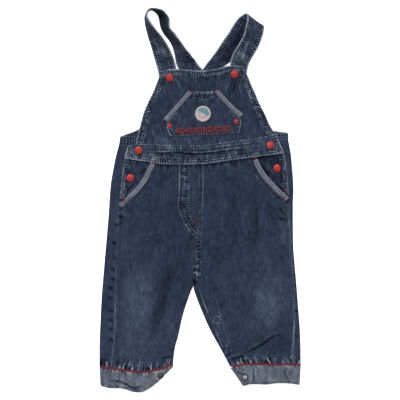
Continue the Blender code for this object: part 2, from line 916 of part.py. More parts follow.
def build_band(denim):
    """The front waistband with its sunk line; returns its panel."""
    ends = side(BAND_ENDS, "left"), side(BAND_ENDS, "right")
    band = Panel(*ends, line(BAND_TOP), line(BAND_FOOT), level(ON_FACING), BAND)
    x, y = band.plan(even(7), 22)
    fade = np.clip(np.minimum(x - GROOVE_ENDS[0], GROOVE_ENDS[1] - x) / GROOVE_FADE, 0, 1)
    sunk = GROOVE_DEPTH * np.exp(-((even(7)[:, None] - GROOVE_SHARE) / GROOVE_WIDTH) ** 2) * fade
    low = band.low(x, y)
    wall("front_waistband", np.stack([x, y, low + BAND - sunk], -1), np.stack([x, y, low], -1), denim)
    return band


def bib_low(x, y):
    """The bib's underside, arched over what lies under it."""
    left, right = read(BIB_SIDES, "left", y), read(BIB_SIDES, "right", y)
    share = np.clip((x - left) / (right - left), 0, 1)
    return read(BIB_HEIGHTS, "edge", y) + read(BIB_HEIGHTS, "air", y) * (1 - np.abs(2 * share - 1) ** 3)


def build_bib(denim, grey, red, cream):
    """The bib with its pocket, bindings, badge and studs; returns its panel."""
    edges = side(BIB_SIDES, "left"), side(BIB_SIDES, "right")
    bib = Panel(*edges, line(BIB_TOP), line(BAND_TOP, SEAM), bib_low)
    bib.build("bib", even(14), 11, denim)
    edges = side(POCKET_SIDES, "left"), side(POCKET_SIDES, "right")
    pocket = Panel(*edges, line(POCKET_TOP), line(POCKET_FOOT), bib.over)
    pocket.build("bib_pocket", even(11), 7, denim)
    strip("bib_binding_left", LEFT_BIB_BINDING, bib.over, 8, grey)
    strip("bib_binding_right", RIGHT_BIB_BINDING, bib.over, 8, grey)
    z = seat(pocket.over, *BADGE_AT, BADGE_RADIUS)
    turned("badge", badge_profile(BADGE_RADIUS, BADGE_THICK), *BADGE_AT, z, cream, sides=28)
    for name, x, y in zip(("left", "right"), STUDS["x"], STUDS["y"]):
        z = seat(pocket.over, x, y, STUD_RADIUS)
        turned("pocket_stud_" + name, cap_profile(STUD_RADIUS, STUD_HEIGHT), x, y, z, red, sides=14)
    return bib


def build_caps(bib, band, red):
    """The domed caps of the press fasteners on bib, waistband and hips."""
    under = (bib.over, bib.over, band.over, band.over, level(ON_FACING), level(ON_FACING))
    for name, x, y, over in zip(CAP_NAMES, CAPS["x"], CAPS["y"], under):
        z = seat(over, x, y, CAP_RADIUS)
        turned(name, cap_profile(CAP_RADIUS, CAP_HEIGHT), x, y, z, red)


def main():
    """Build every piece."""
    for old in list(bpy.data.objects):
        bpy.data.objects.remove(old, do_unlink=True)
    denim = finish("denim", DENIM)
    grey = finish("reverse_denim", CUFF_GREY)
    red = finish("red_caps", RED, 0.45)
    crimson = finish("crimson_piping", CRIMSON)
    steel = finish("press_stud_steel", STEEL, 0.35, 0.9)
    cream = finish("badge_thread", CREAM)
    left_cuff = LEFT_CUFF_TOP, LEFT_CUFF_FOOT, LEFT_CUFF_SIDES
    right_cuff = RIGHT_CUFF_TOP, RIGHT_CUFF_FOOT, RIGHT_CUFF_SIDES
    left = Leg("left", -1, LEFT_SIDE, LEFT_INSIDE, left_cuff,
               LEFT_FACING, LEFT_FACING_FOOT, LEFT_HIP_BINDING)
    right = Leg("right", 1, RIGHT_SIDE, RIGHT_INSIDE, right_cuff,
                RIGHT_FACING, RIGHT_FACING_FOOT, RIGHT_HIP_BINDING)
    for leg, ring in zip((left, right), zip(RINGS["x"], RINGS["y"])):
        leg.build_back(denim)
        leg.build_front(denim)
        leg.build_hip(denim, grey)
        leg.build_cuff(grey, crimson, steel, ring)
    build_back_top(denim)
    band = build_band(denim)
    bib = build_bib(denim, grey, red, cream)
    build_caps(bib, band, red)
    left_strap(denim)
    right_strap(denim)


main()
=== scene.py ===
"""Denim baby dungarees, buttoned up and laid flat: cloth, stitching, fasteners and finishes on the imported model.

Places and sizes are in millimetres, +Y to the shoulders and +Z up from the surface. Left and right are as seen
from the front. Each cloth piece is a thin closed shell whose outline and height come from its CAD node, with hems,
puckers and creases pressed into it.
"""

import sys

import json
import logging
import math
from collections.abc import Callable, Sequence
from dataclasses import dataclass, field
from enum import Enum

import bpy
import numpy as np
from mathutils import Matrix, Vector
from mathutils.bvhtree import BVHTree

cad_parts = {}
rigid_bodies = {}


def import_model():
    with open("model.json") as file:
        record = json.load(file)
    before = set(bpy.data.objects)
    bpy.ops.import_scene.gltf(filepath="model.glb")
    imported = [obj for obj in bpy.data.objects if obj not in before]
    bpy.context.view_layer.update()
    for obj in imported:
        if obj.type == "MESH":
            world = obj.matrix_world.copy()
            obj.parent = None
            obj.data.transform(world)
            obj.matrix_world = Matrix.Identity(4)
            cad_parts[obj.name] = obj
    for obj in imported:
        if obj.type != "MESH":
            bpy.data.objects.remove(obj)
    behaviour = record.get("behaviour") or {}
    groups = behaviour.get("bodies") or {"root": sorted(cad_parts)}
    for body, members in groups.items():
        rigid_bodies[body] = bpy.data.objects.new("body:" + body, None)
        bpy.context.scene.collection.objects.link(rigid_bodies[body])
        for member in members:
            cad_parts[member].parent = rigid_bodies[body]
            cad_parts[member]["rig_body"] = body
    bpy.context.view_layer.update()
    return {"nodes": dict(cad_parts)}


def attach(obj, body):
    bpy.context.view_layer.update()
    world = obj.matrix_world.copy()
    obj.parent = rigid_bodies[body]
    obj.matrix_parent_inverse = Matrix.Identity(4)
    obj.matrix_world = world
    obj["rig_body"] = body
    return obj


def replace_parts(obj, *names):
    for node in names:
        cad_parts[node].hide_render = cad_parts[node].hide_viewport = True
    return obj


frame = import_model()

Array = np.ndarray
Object = bpy.types.Object
Point = tuple[float, float]
Colour = tuple[float, float, float, float]
Rows = tuple[tuple[float, ...], ...]
LOG = logging.getLogger("dungarees")
LATTICE = np.random.RandomState(7).rand(64, 64)
MM = 0.001
CLOTH, GAP = 1.0, 0.3  # one layer, and the air between two
SURFACE = 0.02  # the lowest that an underside may lie
FRONT = 2.0  # the level above which cloth has come round to the front
ABOVE = 200.0  # where places are looked for from
NARROWEST, LEAST_SHARE = 10.5, 0.301  # of a sheet as reported: its least sides, and its least area as a share of width times length
TINY, FAR = 1e-9, 1e3
THREAD, TACK, SATIN = 0.27, 0.36, 0.4  # radii of thread
THREAD_RINGS = ((0.0, 0.25, 0.75, 1.0), (0.4, 1.0, 1.0, 0.4), (-0.9, 0.3, 0.3, -0.9))  # share, girth and sink


# ---- sums


def srgb(red: float, green: float, blue: float) -> Colour:
    """A linear colour from display values of 0 to 255."""
    shares = (value / 255 for value in (red, green, blue))
    return (*(c / 12.92 if c <= 0.04045 else ((c + 0.055) / 1.055) ** 2.4 for c in shares), 1.0)


def smooth(t: Array) -> Array:
    """Eases a share from 0 to 1, held at both ends."""
    t = np.clip(t, 0, 1)
    return t * t * (3 - 2 * t)


def bell(distance: Array, width: float) -> Array:
    """A soft bump that falls off over the width."""
    return np.exp(-((distance / width) ** 2))


def unit(ways: Array) -> Array:
    """Vectors brought to length 1."""
    return ways / np.maximum(np.linalg.norm(ways, axis=-1, keepdims=True), TINY)


def summed(steps: Array, axis: int = 0) -> Array:
    """Running totals along an axis, from 0."""
    return np.cumsum(np.insert(steps, 0, 0, axis), axis)


def noise(x: Array, y: Array, size: float, seed: int = 0) -> Array:
    """Smooth unevenness from 0 to 1.

    Args:
        x: Places across.
        y: Places along.
        size: How wide one patch is.
        seed: Which of the patterns.

    Returns:
        A value for each place.
    """
    u, v = np.asarray(x) / size + 7.31 * seed, np.asarray(y) / size + 3.77 * seed
    i, j = np.floor(u).astype(int), np.floor(v).astype(int)
    f, g = smooth(u - i), smooth(v - j)
    low, high = (LATTICE[(i + k) % 64, j % 64] * (1 - g) + LATTICE[(i + k) % 64, (j + 1) % 64] * g for k in (0, 1))
    return low * (1 - f) + high * f


def ripple(run: Array, size: float, seed: int = 0) -> Array:
    """Noise along a line."""
    return noise(run, 0 * run, size, seed)


def hermite(at: Array, stations: Array, values: Array, slopes: Array) -> Array:
    """The curve through values with given slopes.

    Args:
        at: Where to read it.
        stations: Where the values are.
        values: What it goes through.
        slopes: How steeply.

    Returns:
        The curve at each place.
    """
    step = np.diff(stations)
    i = np.clip(np.searchsorted(stations, at, side="right") - 1, 0, len(step) - 1)
    t = np.clip((at - stations[i]) / step[i], 0, 1)
    start = (1 + 2 * t) * (1 - t) ** 2 * values[i] + t * (1 - t) ** 2 * step[i] * slopes[i]
    return start + t * t * (3 - 2 * t) * values[i + 1] - t * t * (1 - t) * step[i] * slopes[i + 1]


def flowing(at: Array, stations: Array, values: Array) -> Array:
    """A round curve through values."""
    return hermite(at, stations, values, np.gradient(values, stations))


def steady(at: Array, stations: Array, values: Array) -> Array:
    """A smooth curve through values, as flowing, that never overshoots them.

    Args:
        at: Where to read it.
        stations: Where the values are.
        values: What it goes through.

    Returns:
        The curve at each place.
    """
    run = np.diff(values) / np.diff(stations)
    slopes = np.concatenate([run[:1], np.zeros(len(run) - 1), run[-1:]])
    same = run[:-1] * run[1:] > 0
    slopes[1:-1][same] = 2 / (1 / run[:-1][same] + 1 / run[1:][same])
    return hermite(at, stations, values, slopes)


def blurred(values: Array, reach: float, axis: int) -> Array:
    """Softens a grid along one axis, leaving its two ends in place.

    Args:
        values: The grid.
        reach: Spread, in grid steps.
        axis: Which axis.

    Returns:
        The softened grid.
    """
    reach = min(reach, (values.shape[axis] - 3) / 3)
    if reach < 0.4:
        return values
    span = int(3 * reach) + 1
    weights = np.exp(-((np.arange(-span, span + 1) / reach) ** 2) / 2)
    weights /= weights.sum()
    moved = np.moveaxis(values, axis, -1)
    before = 2 * moved[..., :1] - moved[..., 1:span + 1][..., ::-1]
    after = 2 * moved[..., -1:] - moved[..., -span - 1:-1][..., ::-1]
    padded = np.concatenate([before, moved, after], -1)
    soft = sum(w * padded[..., k:k + moved.shape[-1]] for k, w in enumerate(weights))
    return np.moveaxis(soft, -1, axis)


def softened(values: Array, reach: float) -> Array:
    """Softens a grid both ways."""
    return blurred(blurred(values, reach, 0), reach, 1)


@dataclass(frozen=True)
class Path:
    """A line on the cloth, seen from above."""

    points: tuple[Point, ...]

    @classmethod
    def through(cls, *places: float) -> "Path":
        """The path through x, y, x, y and so on."""
        return cls(tuple(zip(places[::2], places[1::2])))

    def dense(self, step: float) -> Array:
        """A round line through the path's own points.

        Args:
            step: From one point to the next.

        Returns:
            Its points.
        """
        own = np.array(self.points, float)
        stations = summed(np.hypot(*np.diff(own, axis=0).T))
        at = np.linspace(0, stations[-1], max(2, int(stations[-1] / step) + 1))
        return np.stack([flowing(at, stations, own[:, k]) for k in (0, 1)], -1)

    def locate(self, x: Array, y: Array, reach: float) -> tuple[Array, Array, float]:
        """Where places lie beside the path.

        Args:
            x: Places across.
            y: Places along.
            reach: How far from the path matters.

        Returns:
            The distance along it, the signed distance from it (left positive), and its length.
        """
        line = self.dense(3.0)
        low, high = line.min(0) - reach, line.max(0) + reach
        near = (x > low[0]) & (x < high[0]) & (y > low[1]) & (y < high[1])
        along, across = np.zeros(x.shape), np.full(x.shape, FAR)
        step = np.diff(line, axis=0)
        length = np.hypot(*step.T)
        if near.any():
            px, py = x[near][:, None] - line[:-1, 0], y[near][:, None] - line[:-1, 1]
            t = np.clip((px * step[:, 0] + py * step[:, 1]) / length**2, 0, 1)
            away = np.hypot(px - t * step[:, 0], py - t * step[:, 1])
            k = away.argmin(1)
            row = np.arange(len(k))
            side = np.sign(step[k, 0] * py[row, k] - step[k, 1] * px[row, k])
            along[near] = summed(length)[k] + t[row, k] * length[k]
            across[near] = away[row, k] * np.where(side == 0, 1, side)
        return along, across, float(length.sum())


# ---- finishes


class Value:
    """A shader socket that takes part in sums."""

    def __init__(self, shader: "Nodes", socket: bpy.types.NodeSocket) -> None:
        """Wraps a socket of the shader."""
        self.shader, self.socket = shader, socket

    def _sum(self, operation: str, first: "Value | float", second: "Value | float") -> "Value":
        """One Math node."""
        return self.shader.add("ShaderNodeMath", {"operation": operation}, {0: first, 1: second})

    def __add__(self, other: "Value | float") -> "Value":
        """Sum."""
        return self._sum("ADD", self, other)

    def __sub__(self, other: "Value | float") -> "Value":
        """Difference."""
        return self._sum("SUBTRACT", self, other)

    def __rsub__(self, other: float) -> "Value":
        """Difference from a number."""
        return self._sum("SUBTRACT", other, self)

    def __mul__(self, other: "Value | float") -> "Value":
        """Product."""
        return self._sum("MULTIPLY", self, other)

    __radd__, __rmul__ = __add__, __mul__

    def between(self, low: float, high: float) -> "Value":
        """0 at low, 1 at high and eased between."""
        sockets = {"Value": self, "From Min": low, "From Max": high}
        return self.shader.add("ShaderNodeMapRange", {"interpolation_type": "SMOOTHSTEP"}, sockets)


class Nodes:
    """A tree of shader nodes."""

    def __init__(self, tree: bpy.types.NodeTree, surface: str) -> None:
        """Takes a tree and finds the node that its finish is set on."""
        self.tree, self.surface = tree, tree.nodes[surface]

    def join(self, value: "Value | float | Sequence[float]", socket: bpy.types.NodeSocket) -> None:
        """Links a value to a socket, or sets a plain one.

        Args:
            value: The value.
            socket: An input.
        """
        if isinstance(value, Value):
            self.tree.links.new(value.socket, socket)
        else:
            socket.default_value = value

    def add(self, kind: str, settings: dict | None = None, sockets: dict | None = None, out: int | str = 0) -> Value:
        """Adds any node.

        Args:
            kind: The node's type.
            settings: Its own settings; "stops" are a ramp's (place, colour) pairs.
            sockets: Values or links of its inputs.
            out: Which output to return.

        Returns:
            The output as a value.
        """
        node = self.tree.nodes.new(kind)
        for name, value in (settings or {}).items():
            if name != "stops":
                setattr(node, name, value)
                continue
            while len(node.color_ramp.elements) < len(value):
                node.color_ramp.elements.new(1.0)
            for element, (place, colour) in zip(node.color_ramp.elements, value):
                element.position, element.color = place, colour
        for key, value in (sockets or {}).items():
            self.join(value, node.inputs[key])
        return Value(self, node.outputs[out])

    def dress(self, inputs: dict) -> None:
        """Sets or links inputs of the surface."""
        for name, value in inputs.items():
            self.join(value, self.surface.inputs[name])


class Shader(Nodes):
    """A material and the nodes that make it."""

    def __init__(self, name: str) -> None:
        """Starts a material with its Principled surface."""
        self.material = bpy.data.materials.new(name)
        self.material.use_nodes = True
        super().__init__(self.material.node_tree, "Principled BSDF")

    def attribute(self, name: str, out: str = "Vector") -> Value:
        """An attribute of the mesh."""
        return self.add("ShaderNodeAttribute", {"attribute_name": name}, out=out)

    def stretched(self, vector: Value, by: tuple[float, float, float]) -> Value:
        """A vector times three numbers."""
        return self.add("ShaderNodeVectorMath", {"operation": "MULTIPLY"}, {0: vector, 1: by})

    def speckle(self, vector: Value, scale: float, detail: float = 2.0, roughness: float = 0.5) -> Value:
        """Cloudy noise about 0.5."""
        sockets = {"Vector": vector, "Scale": scale, "Detail": detail, "Roughness": roughness}
        return self.add("ShaderNodeTexNoise", None, sockets)

    def stripes(self, vector: Value, scale: float) -> Value:
        """Even slanting stripes."""
        settings = {"wave_type": "BANDS", "bands_direction": "DIAGONAL"}
        return self.add("ShaderNodeTexWave", settings, {"Vector": vector, "Scale": scale, "Distortion": 0.4})

    def ramp(self, share: Value, stops: Sequence[tuple[float, Colour]]) -> Value:
        """A colour read off a scale."""
        return self.add("ShaderNodeValToRGB", {"stops": stops}, {"Fac": share})

    def finish(self, inputs: dict, bump: Value, depth: float, strength: float) -> bpy.types.Material:
        """Sets the surface's inputs and its bump, and hands over the material."""
        normal = self.add("ShaderNodeBump", None, {"Strength": strength, "Distance": depth, "Height": bump})
        self.dress({**inputs, "Normal": normal})
        return self.material


class Slot(Enum):
    """The material slots, one named in each finish."""

    DENIM = "denim"
    REVERSE = "reverse_denim"
    CRIMSON = "crimson_piping"
    CAP = "red_caps"
    STEEL = "press_stud_steel"
    BADGE = "badge_thread"


@dataclass(frozen=True)
class Layer:
    """One cloudy unevenness of woven cloth: its stretch and make, and how much it tints and lifts."""

    across: float
    along: float
    scale: float
    detail: float
    roughness: float
    tint: float
    lift: float = 0.0


@dataclass(frozen=True)
class Woven:
    """Washed cloth, uneven in layers, abraded and painted with highlight and shade, its paleness read off one scale of
    blues.

    Args:
        name: The material's name.
        slot: Its slot; not used.
        depths: The scale, from darkest to palest.
        middle: Where unworn cloth lies on it.
        layers: Its unevenness, the grain last.
        twill: Scale, tint and lift of the slanting lines.
        flecks: Pale flecks: of which layer, from and to where, and how pale.
        paling: How much abrasion and painted highlight pale the cloth, evenly and on the grain.
        shade_and_tone_depth: How much painted shade and darker tone darken the cloth.
        inputs: Plain inputs of the surface.
        relief: Depth and strength of its bump.
    """

    name: str
    slot: Slot
    depths: tuple[tuple[float, Colour], ...]
    middle: float
    layers: tuple[Layer, ...]
    twill: tuple[float, float, float]
    paling: tuple[float, float]
    shade_and_tone_depth: float
    inputs: tuple[float, float, float]
    relief: tuple[float, float]
    flecks: Rows = ()

    def material(self) -> bpy.types.Material:
        """Builds the material."""
        s = Shader(self.name)
        cloth = s.attribute("cloth")
        dye = s.attribute("dye")
        # The second channel is abrasion and painted highlight, the third painted shade and darker tone.
        fade, wear_and_highlight, shade_and_tone = (s.add("ShaderNodeSeparateXYZ", None, {0: dye}, k) for k in range(3))
        twill = s.stripes(cloth, self.twill[0])
        pale = self.middle + (twill - 0.5) * self.twill[1] + fade * 0.5 - shade_and_tone * self.shade_and_tone_depth
        bump, clouds = twill * self.twill[2], []
        for own in self.layers:
            cloud = s.speckle(s.stretched(cloth, (own.across, own.along, 1.0)), own.scale, own.detail, own.roughness)
            pale, bump = pale + (cloud - 0.5) * own.tint, bump + cloud * own.lift
            clouds.append(cloud)
        for layer, low, high, amount in self.flecks:
            pale = pale + clouds[layer].between(low, high) * amount
        pale = pale + wear_and_highlight * (self.paling[0] + self.paling[1] * clouds[-1].between(0.35, 0.65))
        inputs = dict(zip(("Roughness", "Specular IOR Level", "Sheen Weight"), self.inputs))
        return s.finish({"Base Color": s.ramp(pale, self.depths), **inputs}, bump, *self.relief)


@dataclass(frozen=True)
class Flecked:
    """Thread, lacquer or metal: one colour flecked with a deeper one, and the turns of a thread's ply."""

    name: str
    slot: Slot
    colour: Colour
    deep: Colour
    roughness: tuple[float, float] = (0.75, 0.0)
    plain: tuple[str, float] = ("Sheen Weight", 0.1)
    scale: float = 700.0
    spread: float = 0.2
    ply: float = 500.0
    relief: tuple[float, float] = (0.0002, 0.4)

    def material(self) -> bpy.types.Material:
        """Builds the material."""
        s = Shader(self.name)
        place = s.add("ShaderNodeTexCoord", out="Object")
        share = bump = s.speckle(place, self.scale, 3.0)
        even, uneven = self.roughness
        roughness = even + bump * uneven if uneven else even
        if self.ply:
            turns = s.stripes(place, self.ply)
            share, bump = share * 0.8 + turns * 0.2, bump + turns * 0.5
        colour = s.ramp(share, ((0.5 - self.spread, self.deep), (0.5 + self.spread, self.colour)))
        inputs = {"Base Color": colour, "Roughness": roughness, self.plain[0]: self.plain[1]}
        return s.finish(inputs, bump, *self.relief)


@dataclass(frozen=True)
class Embroidery:
    """Satin stitch whose colours are painted on the mesh."""

    name: str = "badge_embroidery"
    slot: Slot = Slot.BADGE
    shades: tuple = ((0.25, srgb(190, 190, 190)), (0.7, srgb(255, 255, 255)))

    def material(self) -> bpy.types.Material:
        """Builds the material."""
        s = Shader(self.name)
        place = s.add("ShaderNodeTexCoord", out="Object")
        fleck = s.speckle(s.stretched(place, (1.0, 0.2, 1.0)), 1400.0)
        sockets = {"Factor": 1.0, 6: s.attribute("tint", "Color"), 7: s.ramp(fleck, self.shades)}
        colour = s.add("ShaderNodeMix", {"data_type": "RGBA", "blend_type": "MULTIPLY"}, sockets, 2)
        return s.finish({"Base Color": colour, "Roughness": 0.7, "Sheen Weight": 0.1}, fleck, 0.0003, 0.5)


@dataclass
class Wardrobe:
    """Every material, made once."""

    made: dict = field(default_factory=dict)

    def dress(self, piece: Object, recipe: "Recipe") -> None:
        """Gives a piece its material.

        Args:
            piece: The piece.
            recipe: Its finish.
        """
        if recipe.name not in self.made:
            self.made[recipe.name] = recipe.material()
        piece.data.materials.append(self.made[recipe.name])


Recipe = Woven | Flecked | Embroidery
WARDROBE = Wardrobe()
DENIM = Woven(
    name="washed_denim", slot=Slot.DENIM, middle=0.3,
    depths=(
        (0.0, srgb(9, 13, 26)), (0.14, srgb(26, 33, 51)), (0.3, srgb(42, 51, 71)), (0.5, srgb(66, 77, 98)),
        (0.75, srgb(108, 117, 134)), (1.0, srgb(158, 164, 175)),
    ),
    layers=(
        Layer(1.0, 0.13, 560.0, 3.0, 0.6, 0.4, 0.9), Layer(1.0, 0.25, 1500.0, 2.0, 0.5, 0.2),
        Layer(1.0, 0.45, 45.0, 4.0, 0.6, 0.34, 0.8), Layer(1.0, 0.7, 190.0, 3.0, 0.6, 0.2),
        Layer(1.0, 1.0, 2200.0, 2.0, 0.5, 0.26, 0.6),
    ),
    twill=(420.0, 0.03, 0.35), paling=(0.25, 0.4), shade_and_tone_depth=0.36, inputs=(0.92, 0.12, 0.03), relief=(0.0006, 0.6),
    flecks=((0, 0.6, 0.75, 0.1), (-1, 0.62, 0.78, 0.08)),
)
REVERSE = Woven(
    name="reverse_denim", slot=Slot.REVERSE, middle=0.52,
    depths=((0.0, srgb(40, 46, 64)), (0.35, srgb(78, 84, 100)), (0.6, srgb(106, 110, 122)), (1.0, srgb(156, 158, 166))),
    layers=(
        Layer(0.3, 1.0, 900.0, 2.0, 0.5, 0.6, 1.0), Layer(1.0, 0.3, 900.0, 2.0, 0.5, 0.6, 1.0),
        Layer(1.0, 1.0, 60.0, 4.0, 0.5, 0.4),
    ),
    twill=(300.0, 0.06, 0.4), paling=(0.35, 0.0), shade_and_tone_depth=0.45, inputs=(0.94, 0.15, 0.04), relief=(0.0005, 0.5),
)
NAVY_THREAD = Flecked("navy_thread", Slot.DENIM, srgb(50, 57, 78), srgb(24, 29, 46))
RED_THREAD = Flecked("red_thread", Slot.DENIM, srgb(158, 38, 44), srgb(104, 20, 32), (0.6, 0.0))
MAROON_THREAD = Flecked("maroon_thread", Slot.DENIM, srgb(116, 44, 62), srgb(74, 32, 48), (0.7, 0.0))
RUBY_THREAD = Flecked("ruby_thread", Slot.BADGE, srgb(136, 28, 48), srgb(80, 16, 34), (0.7, 0.0))
CRIMSON = Flecked("crimson_cord", Slot.CRIMSON, srgb(122, 28, 44), srgb(66, 16, 32), (0.85, 0.0))
LACQUER = Flecked(
    "red_lacquer", Slot.CAP, srgb(182, 54, 48), srgb(152, 40, 40), (0.42, 0.16), plain=("Specular IOR Level", 0.4),
    scale=260.0, spread=0.15, ply=0.0, relief=(0.0002, 0.15),
)
PALE_STEEL = Flecked(
    "pale_steel", Slot.STEEL, srgb(176, 178, 184), srgb(136, 138, 148), (0.35, 0.25), plain=("Metallic", 0.1),
    scale=500.0, ply=0.0, relief=(0.0001, 0.2),
)
DARK_STEEL = Flecked(
    "tarnished_steel", Slot.STEEL, srgb(52, 54, 66), srgb(30, 32, 42), (0.35, 0.25), plain=("Metallic", 0.15),
    scale=500.0, ply=0.0, relief=(0.0001, 0.2),
)
EMBROIDERY = Embroidery()


# ---- meshes


def put(name: str, data: bpy.types.ID) -> Object:
    """Puts a new object into the scene."""
    made = bpy.data.objects.new(name, data)
    bpy.context.scene.collection.objects.link(made)
    return made


def make(name: str, points: Array, faces: Sequence[Array], recipe: Recipe, node: str = "",
         attributes: dict[str, Array] | None = None, sharp: float = 60.0) -> Object:
    """Makes and dresses a piece that rides on the garment.

    Args:
        name: The piece's name.
        points: Its points.
        faces: Arrays of faces, each with one number of corners.
        recipe: Its material.
        node: The CAD node that it replaces, if any.
        attributes: Vectors on the points, by name.
        sharp: The angle, in degrees, above which an edge is hard.

    Returns:
        The piece.
    """
    mesh = bpy.data.meshes.new(name)
    mesh.vertices.add(len(points))
    mesh.vertices.foreach_set("co", (points * MM).astype(np.float32).ravel())
    corners = np.concatenate([np.full(len(part), part.shape[1]) for part in faces])
    mesh.loops.add(int(corners.sum()))
    mesh.loops.foreach_set("vertex_index", np.concatenate([part.ravel() for part in faces]).astype(np.int32))
    mesh.polygons.add(len(corners))
    mesh.polygons.foreach_set("loop_start", (np.cumsum(corners) - corners).astype(np.int32))
    mesh.update(calc_edges=True)
    mesh.shade_smooth()
    mesh.set_sharp_from_angle(angle=math.radians(sharp))
    for key, values in (attributes or {}).items():
        mesh.attributes.new(key, "FLOAT_VECTOR", "POINT").data.foreach_set("vector", values.astype(np.float32).ravel())
    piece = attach(put(name, mesh), "root")
    WARDROBE.dress(piece, recipe)
    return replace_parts(piece, node) if node else piece


def grid_faces(rows: int, cols: int, start: int = 0, ring: bool = False, flip: bool = False) -> Array:
    """The faces of a grid of points, whose columns may join up in a ring.

    Args:
        rows: How many rows.
        cols: How many columns.
        start: The number of its first point.
        ring: Whether the last column joins the first.
        flip: Whether the faces look the other way.

    Returns:
        The faces.
    """
    i = np.arange(rows - 1)[:, None] * cols
    j = np.arange(cols if ring else cols - 1)[None, :]
    k = (j + 1) % cols
    faces = np.stack([i + j, i + cols + j, i + cols + k, i + k], -1).reshape(-1, 4) + start
    return faces[:, ::-1] if flip else faces


def rim_faces(loop: Array, other: Array) -> Array:
    """The faces between two matching closed loops of point numbers."""
    return np.stack([loop, np.roll(loop, -1), np.roll(other, -1), other], -1)


def sheet_faces(rows: int, cols: int, flip: bool = False) -> list[Array]:
    """The faces of a closed sheet: an upper grid of points, a lower one, and the rim between.

    Args:
        rows: How many rows.
        cols: How many columns.
        flip: Whether inside out.

    Returns:
        Arrays of faces.
    """
    count, ids = rows * cols, np.arange(rows * cols).reshape(rows, cols)
    loop = np.concatenate([ids[0, :-1], ids[:-1, -1], ids[-1, :0:-1], ids[:0:-1, 0]])
    return [grid_faces(rows, cols, flip=flip), grid_faces(rows, cols, count, flip=not flip),
            rim_faces(loop, loop + count)[:, ::-1 if flip else 1]]


def ring_faces(rows: int, cols: int) -> list[Array]:
    """The faces of a closed ring: an outer tube of points, an inner one, and two rims.

    Args:
        rows: How many rows.
        cols: How many points round.

    Returns:
        Arrays of faces.
    """
    count, first = rows * cols, np.arange(cols)
    last = first + count - cols
    return [grid_faces(rows, cols, ring=True), grid_faces(rows, cols, count, True, True),
            rim_faces(first, first + count), rim_faces(last, last + count)[:, ::-1]]


def grid_normals(grid: Array) -> Array:
    """The way that a grid of points faces, at each point."""
    return unit(np.cross(np.gradient(grid, axis=0), np.gradient(grid, axis=1)))


def sew_shell(node: str, outer: Array, inner: Array, faces: Sequence[Array], dye: Array, place: Array,
              recipe: Recipe) -> Object:
    """Makes a node's cloth from its two faces.

    Args:
        node: The CAD node that it replaces.
        outer: The points of the face that shows.
        inner: The points of the face behind.
        faces: Its faces.
        dye: How faded and abraded the cloth is at each point, and the highlight and shade painted on it.
        place: Where each point lies on the flat cloth.
        recipe: Its material.

    Returns:
        The piece.
    """
    points = np.concatenate([outer.reshape(-1, 3), inner.reshape(-1, 3)])
    attributes = {"dye": np.tile(dye.reshape(-1, 3), (2, 1)), "cloth": np.tile(place.reshape(-1, 3) * MM, (2, 1))}
    return make(node + "_cloth", points, faces, recipe, node, attributes)


def surface_size(grid: Array) -> tuple[float, float, float]:
    """The size of a grid of points, its puckers smoothed out.

    Args:
        grid: The points.

    Returns:
        The width, length and area.
    """
    grid = softened(grid, 3.0)
    across, down = (np.linalg.norm(np.diff(grid, axis=k), axis=-1) for k in (1, 0))
    first = np.cross(grid[1:, :-1] - grid[:-1, :-1], grid[:-1, 1:] - grid[:-1, :-1])
    second = np.cross(grid[1:, 1:] - grid[1:, :-1], grid[1:, 1:] - grid[:-1, 1:])
    area = (np.linalg.norm(first, axis=-1) + np.linalg.norm(second, axis=-1)).sum() / 2
    return float(across.sum(1).max()), float(down.sum(0).max()), float(area)


def declare(piece: Object, grid: Array) -> None:
    """Measures a sheet and reports it.

    Args:
        piece: The sheet.
        grid: The points of its upper face.
    """
    width, length, area = surface_size(grid)
    width, length = max(width, NARROWEST), max(length, NARROWEST)
    area = min(max(area, LEAST_SHARE * width * length), width * length)
    LOG.info("%s cut %.1f x %.1f mm, %.1f cm2", piece.name, width, length, area / 100)
    width * MM
    length * MM
    area * MM * MM


# ---- cloth


class Side(Enum):
    """The four sides of a piece as laid out."""

    TOP = "top"
    FOOT = "foot"
    LEFT = "left"
    RIGHT = "right"

    def turned(self, grid: Array) -> Array:
        """The grid with this side as its first row."""
        grid = np.swapaxes(grid, 0, 1) if self in (Side.LEFT, Side.RIGHT) else grid
        return grid[::-1] if self in (Side.FOOT, Side.RIGHT) else grid

    def restored(self, grid: Array) -> Array:
        """Undoes turned."""
        grid = grid[::-1] if self in (Side.FOOT, Side.RIGHT) else grid
        return np.swapaxes(grid, 0, 1) if self in (Side.LEFT, Side.RIGHT) else grid


@dataclass(frozen=True)
class Stitching:
    """How a row of topstitching looks: its beat, pull, the abrasion and painted highlight on its crests, the painted
    shade in its pits, how wide it ropes and its slant.
    """

    pitch: float = 3.7
    pull: float = 0.5
    wear_and_highlight: float = 0.95
    shade_and_tone: float = 1.7
    spread: float = 1.6
    slant: float = 0.25


PLAIN_ROW = Stitching()
ROPED_ROW = Stitching(4.6, 0.75, 1.15, 2.7, 2.1, 0.5)
FAINT_ROW = Stitching(3.5, 0.25, 0.5, 0.9, 1.1)
FINE_ROW = Stitching(3.4, 0.4, 0.8, 1.9, 1.4, 0.1)
TAPE_ROW = Stitching(2.9, 0.1, 0.5, 0.7, 0.8)
FLY_ROW = Stitching(3.7, 0.5, 0.85, 1.8, 1.8, 0.1)


@dataclass(frozen=True)
class Relief:
    """What is pressed, abraded, painted with highlight and shade, and sewn into a piece.

    Args:
        fades_and_shades: Middle, half sizes and amount of paler ovals, or of darker ones where the amount is negative,
            some of them painted shade, and their turn if any.
        creases: Width, depth and tone of troughs, or of ridges where the depth is negative, and their path; the tone is
            painted shade and highlight, with abrasion on ridges.
        rumples: Width and amount of crumpled bands, painted with shade and highlight, and their path.
        rows: The look of rows of stitches, and their path.
        lines: Paleness and width of pale lines, abraded and painted with highlight, with painted shade beside them, and
            their path.
    """

    fades_and_shades: Rows = ()
    creases: Rows = ()
    rumples: Rows = ()
    rows: tuple = ()
    lines: Rows = ()


